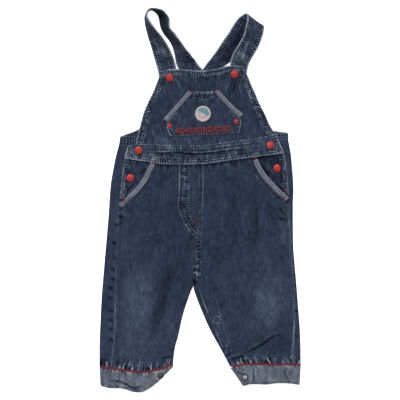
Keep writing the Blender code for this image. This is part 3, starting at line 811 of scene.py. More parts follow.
class Swatch:
    """Cloth as a grid of places, with how far each is lifted, how faded and abraded it is, and the highlight and shade
    painted on it.
    """

    def __init__(self, x: Array, y: Array) -> None:
        """Starts a smooth, evenly dyed piece, its first row at the top."""
        self.x, self.y = x, y
        self.lift, self.fade, self.wear_and_highlight, self.shade_and_tone = (np.zeros(x.shape) for _ in range(4))
        self.rows: list[Array] = []

    def dye(self) -> Array:
        """Fade, abrasion with painted highlight, and painted shade with darker tone, as one vector for each place."""
        return np.stack([np.clip(self.fade, -1, 1), np.clip(self.wear_and_highlight, 0, 1.2), np.clip(self.shade_and_tone, 0, 1.3)], -1)

    def turn_over(self) -> None:
        """Mirrors the fade, abrasion, painted highlight and painted shade, left to right."""
        self.fade, self.wear_and_highlight, self.shade_and_tone = (grid[:, ::-1] for grid in (self.fade, self.wear_and_highlight, self.shade_and_tone))

    def near(self, side: Side, start: float = 0.0, end: float = 1.0) -> tuple[Array, Array, Array]:
        """Where places lie by a side.

        Args:
            side: The side.
            start: The share where something begins.
            end: The share where it ends.

        Returns:
            How far in, how far along, and 1 between the two shares and 0 beyond them.
        """
        plan = side.turned(np.stack([self.x, self.y], -1))
        depth, run = (summed(np.linalg.norm(np.diff(plan, axis=k), axis=-1), k) for k in (0, 1))
        share = run / np.maximum(run[:, -1:], 1e-6)
        mask = smooth((share - start) * 50 + 0.5) * smooth((end - share) * 50 + 0.5)
        return side.restored(depth), side.restored(run), side.restored(mask)

    def sew(self, from_row: Array, run: Array, look: Stitching, mask: Array | float = 1.0) -> None:
        """Pulls the cloth in along a row of stitches, pales the puckers between them with abrasion and painted
        highlight, and paints shade into the pits.

        Args:
            from_row: The signed distance from the row.
            run: The distance along it.
            look: How the row looks.
            mask: Where the row is, from 0 to 1.
        """
        wobble = 7.0 * ripple(run, 15.0, 3) + 3.0 * ripple(run, 6.0, 5)
        beat = 0.5 + 0.5 * np.sin(2 * np.pi * (run + look.slant * from_row) / look.pitch + wobble)
        strength = 0.3 + 1.2 * noise(run, from_row, 7.0, 5)
        patchy = smooth(2.6 * noise(run, from_row, 4.5, 9) - 0.7)
        pits = bell(from_row, 0.85 * look.spread) * smooth((0.6 - beat) / 0.25)
        bars = bell(from_row, 0.9 * look.spread) * smooth((beat - 0.6) / 0.35)
        flanks = bell(np.abs(from_row) - 1.6 * look.spread, 0.45 * look.spread) * patchy
        self.lift += mask * look.pull * (bell(from_row, look.spread) * (2 * beat - 1) * strength + 0.5 * flanks
                                         - 0.5 * bell(from_row, 0.7))
        # Painted shade in the pits; abrasion and painted highlight on the crests and flanks.
        self.shade_and_tone += mask * look.shade_and_tone * pits * (0.5 + 0.7 * strength)
        self.wear_and_highlight += mask * look.wear_and_highlight * (0.7 * bars * strength + 0.7 * flanks)

    def topstitch(self, side: Side, inset: float, look: Stitching = PLAIN_ROW, start: float = 0.0,
                  end: float = 1.0) -> None:
        """Sews a row along a side.

        Args:
            side: The side.
            inset: How far in.
            look: How the row looks.
            start: The share where it begins.
            end: The share where it ends.
        """
        depth, run, mask = self.near(side, start, end)
        self.sew(depth - inset, run, look, mask)
        depth, x, y = (side.turned(grid) for grid in (depth, self.x, self.y))
        cols = depth.shape[1]
        own = range(int(start * cols), max(int(start * cols) + 2, int(end * cols)))
        self.rows.append(np.array([[np.interp(inset, depth[:, j], plan[:, j]) for plan in (x, y)] for j in own]))

    def stitch_path(self, path: Path, look: Stitching = PLAIN_ROW) -> None:
        """Sews a row along any path."""
        run, across, length = path.locate(self.x, self.y, 8.0)
        self.sew(across, run, look, smooth(run / 2.0) * smooth((length - run) / 2.0))
        self.rows.append(path.dense(1.5))

    def rumple(self, path: Path, width: float, amount: float, size: float = 3.0) -> None:
        """Crumples a band along a path, its ridges paled with abrasion and painted highlight and its hollows darkened
        with painted shade.

        Args:
            path: Its middle.
            width: How wide it is.
            amount: How strongly.
            size: How coarse the crumples are.
        """
        run, across, length = path.locate(self.x, self.y, width)
        band = smooth((0.5 * width - np.abs(across)) / 1.5 + 0.5) * smooth(run / 2.0) * smooth((length - run) / 2.0)
        rough = noise(run, 0.55 * across, size, 14) + 0.6 * noise(run + across, across - run, 0.6 * size, 15) - 0.8
        self.lift += 0.8 * amount * band * rough
        # Abrasion and painted highlight on the ridges, painted shade in the hollows.
        self.wear_and_highlight += 1.3 * amount * band * np.clip(rough - 0.05, 0, 1)
        self.shade_and_tone += 1.6 * amount * band * np.clip(-rough - 0.05, 0, 1)

    def mottle(self, amount: float, size: float) -> None:
        """Makes the colour uneven in soft upright patches."""
        self.fade += amount * (noise(self.x, 0.4 * self.y, size, 21) - 0.5)
        self.fade += 0.5 * amount * (noise(self.x, self.y, 0.5 * size, 22) - 0.5)

    def hem(self, side: Side, width: float, rise: float = 0.45, wear_and_highlight: float = 0.25) -> None:
        """A turned and stitched-down edge, patchily abraded, with a step at its inner side and painted shade at the
        step's foot.

        Args:
            side: The side.
            width: How wide the turning is.
            rise: How much it lifts.
            wear_and_highlight: How pale its patches are.
        """
        depth, run, mask = self.near(side)
        band = smooth((width - depth) / 1.4 + 0.5) * mask
        self.lift += rise * band
        self.wear_and_highlight += wear_and_highlight * band * smooth(2.2 * noise(self.x, self.y, 4.0, 11) - 0.7)
        # Random darker patches along the hem.
        self.shade_and_tone += 0.5 * band * smooth(2.4 * noise(self.x, self.y, 3.2, 17) - 1.2)
        # Painted shade at the foot of the hem's step.
        self.shade_and_tone += 0.55 * bell(depth - width - 0.9, 0.9) * mask * (0.5 + 0.8 * ripple(run, 8.0, 2))

    def edge_line(self, side: Side, wear_and_highlight: float = 0.8, width: float = 1.3, inset: float = 0.6, start: float = 0.0,
                  end: float = 1.0) -> None:
        """A pale line along an edge: abrasion and painted highlight.

        Args:
            side: The side.
            wear_and_highlight: How pale it is.
            width: How wide.
            inset: How far in.
            start: The share where it begins.
            end: The share where it ends.
        """
        depth, run, mask = self.near(side, start, end)
        # Abrasion and painted highlight along the edge.
        self.wear_and_highlight += wear_and_highlight * (0.55 + 0.6 * ripple(run, 6.0, 8)) * bell(depth - inset, width) * mask
        self.lift -= 0.35 * CLOTH * bell(depth, 0.7) * mask

    def gather(self, side: Side, reach: float, pitch: float, rise: float, tone: float, start: float = 0.0,
               end: float = 1.0, seed: int = 1) -> None:
        """Little pleats that run in from a side and die away.

        Args:
            side: The side.
            reach: How far in they run.
            pitch: How far apart they are.
            rise: How high they stand.
            tone: How pale their ridges are with abrasion and painted highlight, and how deep the painted shade in their
                hollows.
            start: The share where they begin.
            end: The share where they end.
            seed: Which pattern.
        """
        depth, run, mask = self.near(side, start, end)
        lean = run + 5.0 * noise(depth, run, 9.0, seed) + 0.35 * depth * (ripple(run, 40.0, seed) - 0.5)
        beat = 0.6 * np.sin(2 * np.pi * lean / pitch + 14.0 * ripple(lean, 3.0 * pitch, seed + 4))
        beat += 2.2 * (noise(lean, 0.3 * depth, 0.45 * pitch, seed) - 0.5)
        length = reach * (0.25 + 1.2 * ripple(run, 0.9 * pitch, seed + 7))
        away = smooth(1.1 - np.abs(depth) / length) * mask
        self.lift += rise * away * beat
        # Abrasion and painted highlight on the ridges, painted shade in the hollows.
        self.wear_and_highlight += tone * away * np.clip(beat, 0, 1) ** 1.5
        self.shade_and_tone += tone * away * np.clip(-beat, 0, 1) ** 1.2

    def crease(self, path: Path, width: float, depth: float, tone: float = 0.0) -> None:
        """Presses a trough into the cloth.

        Args:
            path: Its bottom.
            width: How wide it is.
            depth: How deep, or negative for a ridge.
            tone: How deep the painted shade in it is and how pale the painted highlight on its shoulder, or negative
                for a ridge paled with abrasion and painted highlight.
        """
        run, across, length = path.locate(self.x, self.y, 4 * width)
        ends = np.maximum(0, np.abs(run / length - 0.5) - 0.5) * length
        taper = smooth(run / (0.3 * length)) * smooth((length - run) / (0.3 * length))
        distance, patchy = np.hypot(across, ends), noise(run, across, 5.0, 19)
        trough = bell(distance, width) * taper * (0.75 + 0.5 * ripple(run, 14.0, 6))
        shoulder = bell(across - 1.7 * width, 0.9 * width) * taper
        self.lift += depth * (0.35 * shoulder - trough)
        # Painted shade in the trough, painted highlight on its shoulder.
        self.shade_and_tone += max(tone, 0) * bell(distance, 0.6 * width) * taper
        self.wear_and_highlight += abs(tone) * (0.3 * shoulder * patchy if tone > 0 else 0.55 * trough * (0.4 + patchy))

    def oval_fade_and_shade(self, x: float, y: float, across: float, along: float, amount: float, turn: float = 0.0) -> None:
        """Pales an oval, or darkens it; some of the darker ovals are painted shade along folds and on shaded parts of
        the straps.

        Args:
            x: Its middle across.
            y: Its middle along.
            across: Half its width.
            along: Half its length.
            amount: How much paler, or negative for darker.
            turn: How far it is turned, in degrees.
        """
        c, s = math.cos(math.radians(turn)), math.sin(math.radians(turn))
        dx, dy = self.x - x, self.y - y
        distance = np.hypot((dx * c + dy * s) / across, (dy * c - dx * s) / along)
        self.fade += amount * bell(distance, 1.0) * (0.75 + 0.5 * noise(self.x, self.y, 11.0, 9))

    def line(self, path: Path, wear_and_highlight: float, width: float, rise: float = 0.3) -> None:
        """A pale line, a little proud, paled with abrasion and painted highlight, with painted shade beside it.

        Args:
            path: Its middle.
            wear_and_highlight: How pale it is.
            width: How wide.
            rise: How proud.
        """
        run, across, length = path.locate(self.x, self.y, 8.0)
        mask = smooth(run / 1.5 + 0.3) * smooth((length - run) / 1.5 + 0.3)
        self.wear_and_highlight += wear_and_highlight * (0.5 + 0.7 * ripple(run, 5.0, 12)) * bell(across, width) * mask
        self.lift += rise * bell(across, 1.4 * width) * mask
        # Painted shade beside the proud line.
        self.shade_and_tone += 0.4 * bell(across + 2.2 * width, 0.9 * width) * mask

    def press(self, relief: Relief) -> None:
        """Presses, abrades, paints with highlight and shade, and sews in all that is listed.

        Args:
            relief: The lists.
        """
        for spot in relief.fades_and_shades:
            self.oval_fade_and_shade(*spot)
        for width, depth, tone, *places in relief.creases:
            self.crease(Path.through(*places), width, depth, tone)
        for width, amount, *places in relief.rumples:
            self.rumple(Path.through(*places), width, amount)
        for look, *places in relief.rows:
            self.stitch_path(Path.through(*places), look)
        for wear_and_highlight, width, *places in relief.lines:
            self.line(Path.through(*places), wear_and_highlight, width)


def look_down(tree: BVHTree, x: float, y: float) -> tuple[Array | None, Array | None]:
    """Looks straight down on a mesh.

    Args:
        tree: The mesh.
        x: The place across.
        y: The place along.

    Returns:
        Its uppermost point there and the way it faces, or two times none.
    """
    place, way, *_ = tree.ray_cast(Vector((x, y, ABOVE)), Vector((0, 0, -1)))
    if place is None:
        return None, None
    way = np.array(way)
    return np.array(place), way if way[2] > 0 else -way


class Node:
    """A CAD node's outline from above and its heights."""

    def __init__(self, name: str) -> None:
        """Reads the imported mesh.

        Args:
            name: The node's name.
        """
        mesh = frame["nodes"][name].data
        self.points = np.array([v.co for v in mesh.vertices], float) / MM
        edges = np.array([e.vertices for e in mesh.edges])
        self.a, self.b = self.points[edges[:, 0]], self.points[edges[:, 1]]
        self.tree = BVHTree.FromPolygons([Vector(p) for p in self.points], [tuple(p.vertices) for p in mesh.polygons])

    def corner(self, across: float, up: float) -> Array:
        """The outermost point in a direction."""
        return self.points[(self.points[:, 0] * across + self.points[:, 1] * up).argmax(), :2]

    def span(self, axis: int, at: Array, above: float = -1.0) -> tuple[Array, Array]:
        """How far the node reaches at stations along an axis.

        Args:
            axis: 0 for stations across, 1 for stations along.
            at: The stations.
            above: The level above which it counts.

        Returns:
            The lowest and the highest place on the other axis.
        """
        ends = self.points[:, axis]
        station = np.clip(at, ends.min() + SURFACE, ends.max() - SURFACE)[:, None]
        rise = self.b[:, axis] - self.a[:, axis]
        share = (station - self.a[:, axis]) / np.where(np.abs(rise) < TINY, TINY, rise)
        cross = self.a[:, 1 - axis] + share * (self.b[:, 1 - axis] - self.a[:, 1 - axis])
        met = (share >= 0) & (share <= 1) & (self.a[:, 2] + share * (self.b[:, 2] - self.a[:, 2]) > above)
        return np.where(met, cross, np.inf).min(1), np.where(met, cross, -np.inf).max(1)

    def height(self, x: Array, y: Array) -> Array:
        """The height of its upper face, filled in from near by where nothing lies below.

        Args:
            x: Places across.
            y: Places along.

        Returns:
            The heights.
        """
        middle = self.points[:, :2].mean(0)
        z = np.full(x.shape, np.nan)
        for pull in (0.0, 0.004, 0.02):
            for i, j in zip(*np.nonzero(np.isnan(z))):
                px, py = x[i, j] + (middle[0] - x[i, j]) * pull, y[i, j] + (middle[1] - y[i, j]) * pull
                place, _ = look_down(self.tree, px, py)
                z[i, j] = np.nan if place is None else place[2]
        for axis, step in ((0, 1), (0, -1), (1, 1), (1, -1)) * 40:
            z = np.where(np.isnan(z), np.roll(z, step, axis), z)
        return np.nan_to_num(z)

    def side(self, axis: int, start: Array, end: Array, count: int, high: int, grow: float = 0.0) -> Array:
        """One side as points, from corner to corner, softened a little.

        Args:
            axis: The axis it runs along.
            start: Its first corner.
            end: Its last corner.
            count: How many points.
            high: 0 for the low side and 1 for the high one.
            grow: How far it is let out.

        Returns:
            The points.
        """
        at = np.linspace(start[axis], end[axis], count)
        place = self.span(axis, at)[high]
        place[0], place[-1] = start[1 - axis], end[1 - axis]
        place = blurred(place, 2.5, 0) + grow
        return np.stack([place, at] if axis == 1 else [at, place], -1)

    def patch(self, corners: Sequence[Point], step: float, grow: float) -> tuple[Array, Array]:
        """A grid over the node, from its four sides as seen from above.

        Args:
            corners: Directions to its top left, top right, foot right and foot left corners.
            step: The grid's spacing.
            grow: How far the left and right sides are let out.

        Returns:
            Places across and along.
        """
        a, b, c, d = (self.corner(*way) for way in corners)
        cols = max(4, int(max(abs(a[0] - b[0]), abs(c[0] - d[0])) / step) + 2)
        top, foot = self.side(0, a, b, cols, 1), self.side(0, d, c, cols, 0)
        rows = max(4, int((top - foot)[:, 1].max() / step) + 2)
        left, right = self.side(1, a, d, rows, 0, -grow), self.side(1, b, c, rows, 1, grow)
        v, u = np.linspace(0, 1, rows)[:, None], np.linspace(0, 1, cols)[None, :]
        x, y = (
            (1 - u) * left[:, k:k + 1] + u * right[:, k:k + 1] + (1 - v) * top[:, k] + v * foot[:, k]
            - (1 - u) * (1 - v) * a[k] - u * (1 - v) * b[k] - u * v * c[k] - (1 - u) * v * d[k]
            for k in (0, 1)
        )
        return x, y


class Shell:
    """The upper face of a finished piece, and a way to find places on it."""

    def __init__(self, piece: Object, top: Array, rows: Sequence[Array] = ()) -> None:
        """Keeps a piece, its upper face and the rows of stitches laid on it."""
        self.piece = piece
        self.tree = BVHTree.FromPolygons([Vector(p) for p in top.reshape(-1, 3)], grid_faces(*top.shape[:2]).tolist())
        self.rows = [self.drape(row) for row in rows]

    def find(self, x: float, y: float) -> tuple[Array | None, Array | None]:
        """The point of the shell below a place, and the way the cloth faces."""
        return look_down(self.tree, x, y)

    def drape(self, plan: Array) -> tuple[Array, Array]:
        """Lays a line, given from above, on the shell: its points and the way the cloth faces."""
        found = [hit for hit in (self.find(x, y) for x, y in plan) if hit[0] is not None]
        points, ways = (np.array([hit[k] for hit in found]).reshape(-1, 3) for k in (0, 1))
        return points, ways

    def height(self, x: Array, y: Array, radius: float = 0.0) -> Array:
        """The highest level of the shell at places.

        Args:
            x: Places across.
            y: Places along.
            radius: How far round each it is looked at.

        Returns:
            The levels.
        """
        turns = np.linspace(0, math.tau, 7)[1:] if radius else ()
        found = np.full(np.shape(x), -1.0)
        for dx, dy in [(0.0, 0.0)] + [(radius * math.cos(a), radius * math.sin(a)) for a in turns]:
            for index, (px, py) in enumerate(zip(np.ravel(x), np.ravel(y))):
                place, _ = self.find(px + dx, py + dy)
                if place is not None:
                    found.flat[index] = max(found.flat[index], place[2])
        return found


def sew_sheet(node: str, top: Array, thickness: float, cloth: Swatch, place: Array, recipe: Woven) -> Shell:
    """Makes a node's cloth below its upper face.

    Args:
        node: The CAD node that it replaces.
        top: The points of its upper face.
        thickness: How thick it is.
        cloth: Its colour marks, painted highlight and shade among them, and rows.
        place: Where each point lies on the flat cloth.
        recipe: Its material.

    Returns:
        The shell.
    """
    under = top - grid_normals(top) * thickness
    under[..., 2] = np.maximum(under[..., 2], SURFACE)
    piece = sew_shell(node, top, under, sheet_faces(*top.shape[:2]), cloth.dye(), place, recipe)
    return Shell(piece, top, cloth.rows)


def threads(name: str, start: Array, end: Array, way: Array, radius: float, recipe: Flecked) -> Object:
    """Short lengths of thread, each pulled into the cloth at its ends, as one piece.

    Args:
        name: The piece's name.
        start: Where each begins.
        end: Where each ends.
        way: The way the cloth faces at each.
        radius: Of the thread.
        recipe: The thread's material.

    Returns:
        The piece.
    """
    along = end - start
    side = unit(np.cross(along, way))
    up = unit(np.cross(side, along))
    share, girth, sink = (np.array(values)[:, None, None] for values in THREAD_RINGS)
    angle = np.arange(4)[:, None] * math.pi / 2
    rings = (start[:, None, None] + along[:, None, None] * share
             + up[:, None, None] * radius * (sink + girth * np.sin(angle))
             + side[:, None, None] * radius * girth * np.cos(angle))
    rings[..., 2] = np.maximum(rings[..., 2], SURFACE)
    faces = np.concatenate([grid_faces(4, 4, ring=True), [[0, 1, 2, 3], [15, 14, 13, 12]]])
    every = (faces[None] + 16 * np.arange(len(start))[:, None, None]).reshape(-1, 4)
    return make(name, rings.reshape(-1, 3), [every], recipe, sharp=100)


def stitches(name: str, rows: Sequence[tuple[Array, Array]], pitch: float = 3.5) -> Object:
    """Topstitches along rows laid on the cloth, joined as one piece.

    Args:
        name: The piece's name.
        rows: The points of each row, and the way the cloth faces there.
        pitch: From one stitch to the next.

    Returns:
        The piece.
    """
    length, sewn = 0.72 * pitch, []
    for points, facing in rows:
        if len(points) >= 3:
            run = summed(np.linalg.norm(np.diff(points, axis=0), axis=1))
            at = np.arange(0.4, run[-1] - length, pitch)
            laid = (points, 0.0), (points, length), (facing, length / 2)
            sewn.append([[np.interp(at + shift, run, values[:, k]) for k in range(3)] for values, shift in laid])
    return threads(name, *np.concatenate(sewn, -1).transpose(0, 2, 1), THREAD, NAVY_THREAD)


def find_on(shells: Sequence[Shell], x: float, y: float) -> tuple[Array | None, Array | None]:
    """The uppermost point of several shells at a place, and the way the cloth faces there."""
    found = [hit for hit in (shell.find(x, y) for shell in shells) if hit[0] is not None]
    return max(found, key=lambda hit: hit[0][2]) if found else (None, None)


def bar_tack(name: str, shells: Sequence[Shell], tack: Sequence[float], recipe: Flecked = RED_THREAD,
             width: float = 2.2) -> None:
    """A bar-tack: close cross stitches over a length.

    Args:
        name: The piece's name.
        shells: What it may lie on.
        tack: Its middle, its length and how far it is turned, in degrees.
        recipe: The thread's material.
        width: How long the cross stitches are.
    """
    x, y, length, turn = tack
    along = np.array([math.cos(math.radians(turn)), math.sin(math.radians(turn))])
    across, sewn = np.array([-along[1], along[0]]) * width / 2, []
    for k, shift in enumerate(np.arange(-length / 2, length / 2 + 0.01, 0.5)):
        middle = np.array((x, y)) + along * shift
        low, high = middle - across * (1 + 0.12 * (-1) ** k), middle + across * (1 + 0.1 * (-1) ** k)
        (a, way), (b, _), (m, _) = (find_on(shells, *at) for at in (low, high + along * 0.3, middle))
        if a is not None and b is not None and m is not None:
            level = max(a[2], b[2], m[2]) - 0.3
            a[2], b[2] = max(a[2], level), max(b[2], level)
            sewn.append((a + way * 0.75, b + way * 0.75, way))
    threads(name, *np.array(sewn).swapaxes(0, 1), TACK, recipe)


def lathe(name: str, profile: Sequence[Point], place: Sequence[float], tilt: Array, recipe: Flecked,
          node: str = "") -> None:
    """A round piece turned from (radius, height) pairs, from its foot's middle to its top's.

    Args:
        name: The piece's name.
        profile: The pairs.
        place: Where its foot stands.
        tilt: The way it faces.
        recipe: Its material.
        node: The CAD node that it replaces, if any.
    """
    sides, count, pairs = 48, len(profile) - 2, np.array(profile, float)
    angle = np.linspace(0, math.tau, sides, endpoint=False)
    radius, level = pairs[1:-1, :1], pairs[1:-1, 1:]
    rings = np.stack([radius * np.cos(angle), radius * np.sin(angle), level + 0 * angle], -1)
    points = np.concatenate([rings.reshape(-1, 3), [[0, 0, pairs[0, 1]], [0, 0, pairs[-1, 1]]]])
    turn = Vector((0, 0, 1)).rotation_difference(Vector(tilt)).to_matrix()
    here = np.arange(sides)
    after, hub, last = (here + 1) % sides, here * 0 + count * sides, (count - 1) * sides
    faces = [grid_faces(count, sides, ring=True)[:, ::-1], np.stack([hub, after, here], -1),
             np.stack([hub + 1, here + last, after + last], -1)]
    make(name, points @ np.array(turn).T + np.array(place), faces, recipe, node, sharp=50)


# ---- cut pieces


@dataclass
class Cut:
    """A flat piece cut from a node, a little uneven all over."""

    node: str
    corners: tuple[Point, ...] = ((-1, 1), (1, 1), (1, -1), (-1, -1))
    step: float = 1.25
    grow: float = 0.25
    grain: float = 0.0
    thickness: float = CLOTH
    soften: float = 5.0
    crumple: float = 0.3

    def __post_init__(self) -> None:
        """Reads the node, starts its cloth and finds the height that it lies at."""
        cad = Node(self.node)
        x, y = cad.patch(self.corners, self.step, self.grow)
        broad = noise(x, y, 26.0, 4) + 0.5 * noise(x + y, y, 11.0, 5) - 0.75
        ridged = 1 - 2 * np.abs(noise(x * 1.6, y * 0.7, 15.0, 6) - 0.5)
        small = noise(x * 1.3, y * 0.8, 5.0, 8) - 0.5
        self.cloth = Swatch(x, y)
        self.cloth.lift += self.crumple * (broad + 0.5 * ridged**4 + 0.35 * small)
        self.cloth.fade += 0.1 * small * self.crumple / 0.3
        self.z = softened(cad.height(x, y), self.soften / self.step)

    def sew_up(self, rests_on: Sequence[str] = (), sewn: str = "") -> Shell:
        """Args:
            rests_on: What it lies on; not used.
            sewn: The name of its stitches, if any.

        Returns:
            The shell.
        """
        cloth = self.cloth
        top = np.stack([cloth.x, cloth.y, self.z + cloth.lift], -1)
        place = np.stack([cloth.x - self.grain * cloth.y, cloth.y, 0 * self.z], -1)
        shell = sew_sheet(self.node, top, self.thickness, cloth, place, DENIM)
        declare(shell.piece, top)
        if sewn:
            stitches(sewn, shell.rows)
        return shell


def bind(name: str, path: Path, width: float, shells: Sequence[Shell]) -> Shell:
    """A binding strip of reverse denim over an edge, stitched down both sides.

    Args:
        name: The CAD node that it replaces.
        path: Its middle line.
        width: Its width.
        shells: What it lies on.

    Returns:
        The binding.
    """
    step = 0.7
    line = path.dense(step)
    along = unit(np.gradient(line, axis=0))
    share = np.linspace(-0.5, 0.5, 13)
    waver = 1 + 0.06 * (ripple(np.arange(len(line)), 9.0, 2) - 0.5)
    offset = share[None, :] * width * waver[:, None]
    cloth = Swatch(line[:, :1] - along[:, 1:] * offset, line[:, 1:] + along[:, :1] * offset)
    base = np.max([shell.height(cloth.x, cloth.y) for shell in shells], axis=0)
    for _ in range(5):
        base = np.maximum(base, np.maximum(np.roll(base, 1, 0), np.roll(base, -1, 0)))
    crown = 1 - (2 * np.abs(share)) ** 3
    run = np.cumsum(np.full(len(line), step))[:, None]
    hatch = np.sin(2 * np.pi * (run + 0.8 * offset) / 2.6 + 5 * ripple(run, 7.0))
    cloth.lift += 0.35 * crown + 0.05 * hatch * crown
    cloth.shade_and_tone += 0.7 * smooth(-hatch) * noise(run, offset, 3.0, 5) * 1.6
    cloth.wear_and_highlight += 0.55 * smooth(hatch)
    cloth.fade += 0.02
    for side in (Side.LEFT, Side.RIGHT):
        cloth.topstitch(side, 1.5, TAPE_ROW)
        cloth.edge_line(side, 0.5)
    top = np.stack([cloth.x, cloth.y, blurred(base, 6.0, 0) + 1.25 + cloth.lift], -1)[:, ::-1]
    cloth.turn_over()
    place = np.stack([offset[:, ::-1], -run + 0 * offset, 0 * offset], -1)
    shell = sew_sheet(name, top, 1.1, cloth, place, REVERSE)
    declare(shell.piece, top)
    return shell


def cap(name: str, place: Point, shell: Shell, scale: float = 1.0, rise: float = 1.0) -> None:
    """A domed red cap pressed into the cloth below it.

    Args:
        name: The CAD node that it replaces.
        place: Its middle.
        shell: The cloth.
        scale: Its width, as a share of a full-sized cap's.
        rise: Its height, likewise.
    """
    level = float(shell.height(*np.array(place), 3.0 * scale)) - 0.15
    way = shell.find(*place)[1] * np.array([0.5, 0.5, 1.0])
    lathe(name + "_lacquered", np.array(CAP_PROFILE) * (scale, rise), (*place, level), way, LACQUER, name)


@dataclass
class Rolled:
    """A back piece that lies flat on the surface and rolls round its sides on to the front.

    Args:
        node: The CAD node.
        ways: The sides that roll over: 1 for the left and -1 for the right.
        dress: What dresses its front.
        step: The grid's spacing.
        radius: Of the turn round the side.
        seam: How far its top and foot are let out.
    """

    node: str
    ways: tuple[int, ...]
    dress: Callable[[Swatch], None]
    step: float = 1.35
    radius: float = 1.4
    seam: float = 0.7

    def level(self, x: Array, share: Array) -> Array:
        """The places along, between its top line and its foot line.

        Args:
            x: Places across.
            share: The share of the way down at each.

        Returns:
            The places along.
        """
        (ax, ay), (bx, by) = self.cad.corner(-0.3, 1), self.cad.corner(0.3, 1)
        at = np.linspace(self.cad.corner(-1, -1)[0] + 0.4, self.cad.corner(1, -1)[0] - 0.4, 80)
        top = ay + (by - ay) / (bx - ax) * (x - ax) + self.seam
        return top * (1 - share) + (np.interp(x, at, self.cad.span(0, at)[0]) - self.seam) * share

    def edge(self, share: Array, high: int, above: float = -1.0) -> Array:
        """One edge as seen from above, drawn straight on near its corners.

        Args:
            share: Shares of the way down it.
            high: 0 for the left edge and 1 for the right.
            above: The level above which it is looked for.

        Returns:
            Places across.
        """
        margin = min(0.22, 14 / float(np.ptp(self.cad.points[:, 1])))
        own = np.linspace(margin, 1 - margin, len(share))
        x = np.full(own.shape, self.cad.points[:, 0].mean())
        for _ in range(14):
            x = 0.5 * x + 0.5 * self.cad.span(1, self.level(x, own), above)[high]
        x = blurred(x, 3.0, 0)
        first, last = (x[3] - x[0]) / (own[3] - own[0]), (x[-1] - x[-4]) / (own[-1] - own[-4])
        beyond = np.minimum(share - own[0], 0) * first + np.maximum(share - own[-1], 0) * last
        return np.interp(share, own, x) + beyond

    def roll(self, share: Array, out: Array, way: int) -> Array:
        """The flap that lies on the front and the turn round the side.

        Args:
            share: Shares of the way down.
            out: The edge that it turns at.
            way: 1 on the left and -1 on the right.

        Returns:
            Places across and heights.
        """
        r, angle = self.radius, np.linspace(0, math.pi, 7)[1:-1]
        if len(self.ways) > 1:
            high = self.cad.points[self.cad.points[:, 2] > FRONT, 0]
            reach = (high[(high - self.cad.points[:, 0].mean()) * way < 0] * way).max() * way
        else:
            reach = self.edge(share, int(way > 0), FRONT)
        tip, side = reach + 0.2 * way, out + r * way
        flap = tip + (side - tip) * np.linspace(0, 1, int(24 / self.step))
        x = np.concatenate([flap, side - r * way * np.sin(angle)], 1)
        z = np.concatenate([2 * r + 0 * flap, r + r * np.cos(angle) + 0 * share], 1)
        return np.stack([x, z])[..., ::way]

    def build(self) -> Shell:
        """Builds it."""
        self.cad = Node(self.node)
        share = np.linspace(0, 1, max(int(np.ptp(self.cad.points[:, 1]) / self.step), 6))[:, None]
        left, right = self.edge(share, 0), self.edge(share, 1)
        start = left + (self.radius if 1 in self.ways else -0.2)
        end = right - (self.radius if -1 in self.ways else -0.2)
        back = start + (end - start) * np.linspace(0, 1, 26)
        rolls = {way: self.roll(share, out, way) for way, out in ((1, left), (-1, right)) if way in self.ways}
        bands = [rolls.get(1), np.stack([back, 0 * back]), rolls.get(-1)]
        x, z = np.concatenate([band for band in bands if band is not None], -1)
        y = self.level(x, share)
        cloth = Swatch(x, y)
        self.dress(cloth)
        grid = np.stack([x, y, z], -1)
        up = smooth((z - 0.4 * self.radius) / (1.6 * self.radius))
        grid = grid - grid_normals(grid) * (cloth.lift * up)[..., None]
        run = summed(np.hypot(np.diff(x, axis=1), np.diff(z, axis=1)), 1)
        cloth.turn_over()
        shell = sew_sheet(self.node, grid[:, ::-1], CLOTH, cloth, np.stack([run, y, 0 * y], -1)[:, ::-1], DENIM)
        declare(shell.piece, grid)
        return shell


